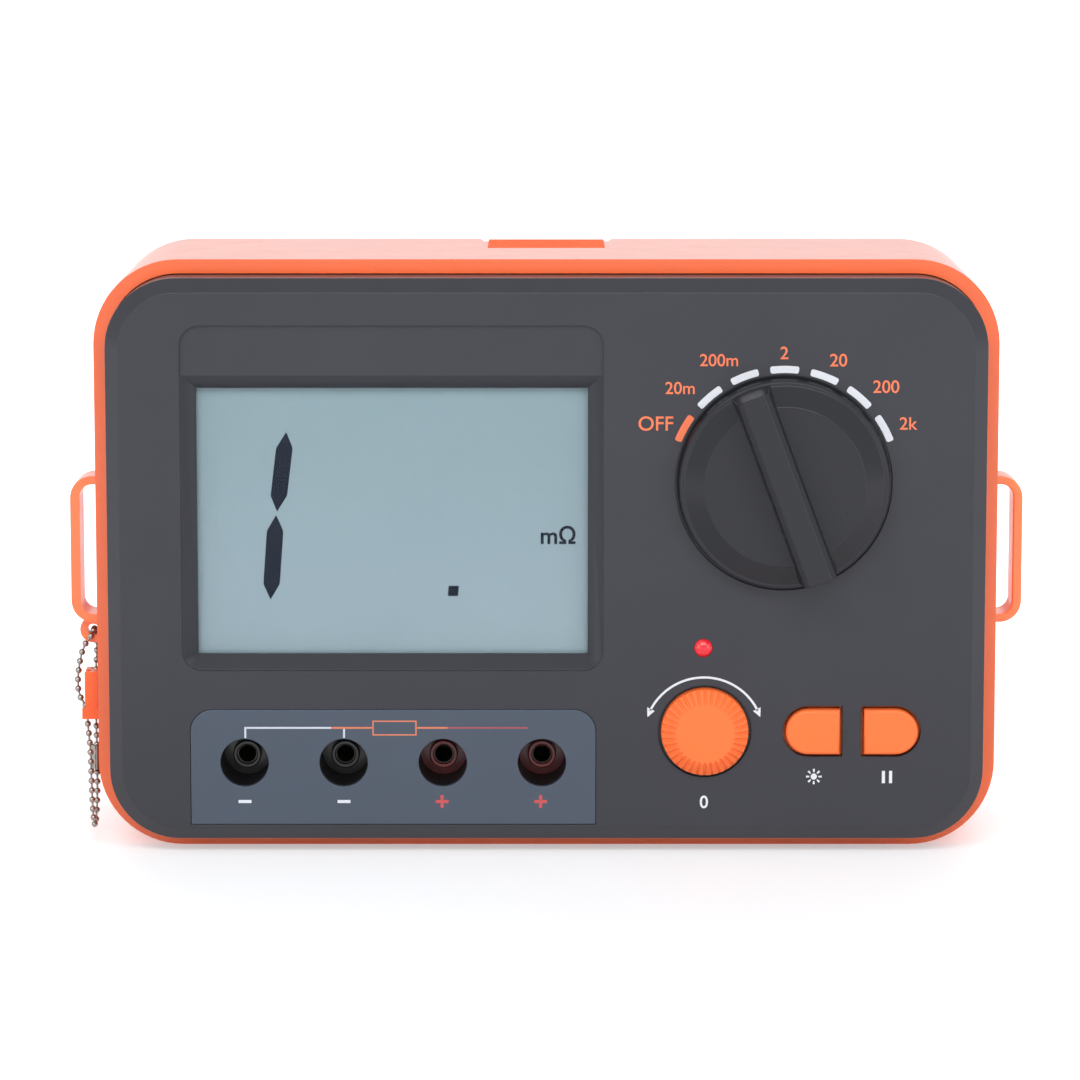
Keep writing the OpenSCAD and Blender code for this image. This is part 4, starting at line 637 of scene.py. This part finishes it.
EYE = Vector((-103.3, 25.0, 47.31))
LOOP = [
    (0, 0, 0), (0, -0.4, -0.002), (-0.06, -0.75, -0.016), (-0.25, -0.98, -0.042),
    (-0.52, -1, -0.068), (-0.7, -0.95, -0.105), (-0.86, -0.88, -0.16), (-0.97, -0.8, -0.22),
    (-1, -0.7, -0.29), (-0.84, -0.58, -0.345), (-0.55, -0.48, -0.385), (-0.45, -0.47, -0.42),
    (-0.45, -0.47, -0.46), (-0.4, -0.47, -0.51), (-0.3, -0.55, -0.6), (-0.24, -0.7, -0.72),
    (-0.2, -0.74, -0.85), (-0.15, -0.55, -0.95), (-0.1, 0, -1), (-0.05, 0.55, -0.95),
    (0, 0.72, -0.85), (0.02, 0.7, -0.72), (0.02, 0.6, -0.6), (0.02, 0.5, -0.51),
    (0.02, 0.47, -0.42), (0.02, 0.47, -0.32), (0.02, 0.5, -0.24), (0.06, 0.7, -0.17),
    (0.08, 0.9, -0.1), (0.06, 1, -0.055), (0, 0.75, -0.016), (0, 0.4, -0.002),
]
LOOP_SIZE = Vector((3.6, 3.4, 45.5))
BEAD, WIRE, PITCH, LOOP_STEPS = 1.5, 0.5, 2.2, 12


def loop_points():
    """Closed smooth curve through the loop's places."""
    ways = [EYE + Vector([p * s for p, s in zip(place_share, LOOP_SIZE)])
            for place_share in LOOP]
    points = []
    for i in range(len(ways)):
        a, b, c, d = (ways[(i + k) % len(ways)] for k in (-1, 0, 1, 2))
        for j in range(LOOP_STEPS):
            t = j / LOOP_STEPS
            points.append((2 * b + (c - a) * t + (2 * a - 5 * b + 4 * c - d) * t * t
                           + (3 * b - a - 3 * c + d) * t ** 3) / 2)
    return points


def bead_places():
    """Even places along the loop, one for each bead."""
    points = loop_points()
    closed = points + points[:1]
    runs = [0.0]
    for a, b in zip(closed, closed[1:]):
        runs.append(runs[-1] + (b - a).length)
    count = round(runs[-1] / PITCH)
    places, leg = [], 0
    for i in range(count):
        run = (i + 0.5) * runs[-1] / count
        while runs[leg + 1] < run:
            leg += 1
        share = (run - runs[leg]) / (runs[leg + 1] - runs[leg])
        places.append(closed[leg].lerp(closed[leg + 1], share))
    return places


def make_chain():
    """Round beads on a wire, all round the loop."""
    bm = bmesh.new()
    beads = [place(*p) for p in bead_places()]
    for here, there in zip(beads, beads[1:] + beads[:1]):
        bmesh.ops.create_uvsphere(bm, u_segments=16, v_segments=10, radius=BEAD / 2 * MM,
                                  matrix=Matrix.Translation(here))
        step = there - here
        along = step.to_track_quat("Z", "Y").to_matrix().to_4x4()
        bmesh.ops.create_cone(bm, cap_ends=True, segments=8, radius1=WIRE / 2 * MM,
                              radius2=WIRE / 2 * MM, depth=step.length,
                              matrix=Matrix.Translation((here + there) / 2) @ along)
    for face in bm.faces:
        face.smooth = True
    chain = add_piece("bead_chain", bm, bead_steel, "tag_chain")
    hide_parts("ball_chain")


make_chain()

# Floor, lights and camera


def seen_directly(nodes, links):
    """1 for the camera's own rays and for those that metal and glass send on, else 0."""
    path = nodes.new("ShaderNodeLightPath")
    seen = path.outputs["Is Camera Ray"]
    for ray in ("Is Glossy Ray", "Is Transmission Ray"):
        either = nodes.new("ShaderNodeMath")
        either.operation = "MAXIMUM"
        links.new(seen, either.inputs[0])
        links.new(path.outputs[ray], either.inputs[1])
        seen = either.outputs[0]
    return seen


def make_floor():
    """Wide white floor: near the meter it keeps its shadow, far away it is plain white."""
    bm = bmesh.new()
    bmesh.ops.create_grid(bm, x_segments=1, y_segments=1, size=15)
    mesh = bpy.data.meshes.new("floor")
    bm.to_mesh(mesh)
    bm.free()
    floor = bpy.data.objects.new("floor", mesh)
    bpy.context.scene.collection.objects.link(floor)
    finish = Finish("floor_white", Roughness=0.5, Base_Color=screen(235, 235, 238) + (1.0,),
                    Emission_Color=(1.0, 1.0, 1.0, 1.0))
    away = finish.add("ShaderNodeVectorMath", {"operation": "LENGTH"})
    finish.links.new(finish.at, away.inputs[0])
    fade = finish.between(away.outputs["Value"], 0.4, 0.9, 0.12, 0.5)
    seen = seen_directly(finish.nodes, finish.links)
    glow = finish.add("ShaderNodeMath", {"operation": "MULTIPLY"})
    finish.links.new(seen, glow.inputs[0])
    finish.links.new(fade, glow.inputs[1])
    finish.links.new(glow.outputs[0], finish.shader.inputs["Emission Strength"])
    mesh.materials.append(finish.material)


def make_world():
    """White surroundings, paler towards the horizon than overhead, white to the camera."""
    world = bpy.data.worlds.new("studio")
    world.use_nodes = True
    bpy.context.scene.world = world
    nodes, links = world.node_tree.nodes, world.node_tree.links
    background = nodes["Background"]
    background.inputs["Color"].default_value = (1, 1, 1, 1)
    direction = nodes.new("ShaderNodeTexCoord").outputs["Object"]
    rise = nodes.new("ShaderNodeSeparateXYZ")
    links.new(direction, rise.inputs["Vector"])
    level = nodes.new("ShaderNodeMapRange")
    level.inputs["From Min"].default_value = 0.1
    level.inputs["From Max"].default_value = 0.75
    level.inputs["To Min"].default_value = 1.0
    level.inputs["To Max"].default_value = 0.22
    links.new(rise.outputs["Z"], level.inputs["Value"])
    strength = nodes.new("ShaderNodeMath")
    strength.operation = "MAXIMUM"
    links.new(seen_directly(nodes, links), strength.inputs[0])
    links.new(level.outputs["Result"], strength.inputs[1])
    links.new(strength.outputs[0], background.inputs["Strength"])


def soft_light(name, at, towards, width, height, watts):
    """Wide lamp at a place in metres, turned towards another."""
    light = bpy.data.lights.new(name, "AREA")
    light.shape = "RECTANGLE"
    light.size, light.size_y = width, height
    light.energy = watts
    lamp = bpy.data.objects.new(name, light)
    lamp.location = at
    lamp.rotation_euler = (Vector(towards) - Vector(at)).to_track_quat("-Z", "Y").to_euler()
    bpy.context.scene.collection.objects.link(lamp)


make_floor()
make_world()
soft_light("front_above", (0.0, -1.05, 0.95), (0, 0, 0.06), 1.4, 0.55, 12.0)
soft_light("behind_above", (0.0, 0.9, 0.75), (0, 0, 0.1), 1.4, 0.35, 3.5)
soft_light("front_left", (-1.1, -1.0, 0.35), (0, 0, 0.06), 0.5, 0.6, 3.0)
soft_light("front_right", (1.1, -1.0, 0.35), (0, 0, 0.06), 0.5, 0.6, 3.0)

CAMERA_AWAY, CAMERA_PITCH, AIM = 1060.0, 8.5, (-1.45, 2.64, 71.2)
FOCAL_PIXELS, FRAME_PIXELS = 4754.0, 1080
pitch = math.radians(CAMERA_PITCH)
camera = bpy.data.objects.new("camera", bpy.data.cameras.new("camera"))
camera.data.sensor_fit = "HORIZONTAL"
camera.data.sensor_width = 36.0
camera.data.lens = FOCAL_PIXELS / FRAME_PIXELS * camera.data.sensor_width
camera.data.clip_end = 50.0
camera.location = place(*AIM) + CAMERA_AWAY * MM * Vector((0, -math.cos(pitch), math.sin(pitch)))
camera.rotation_euler = (math.pi / 2 - pitch, 0, 0)
bpy.context.scene.collection.objects.link(camera)
bpy.context.scene.camera = camera
bpy.context.scene.view_settings.view_transform = "Standard"
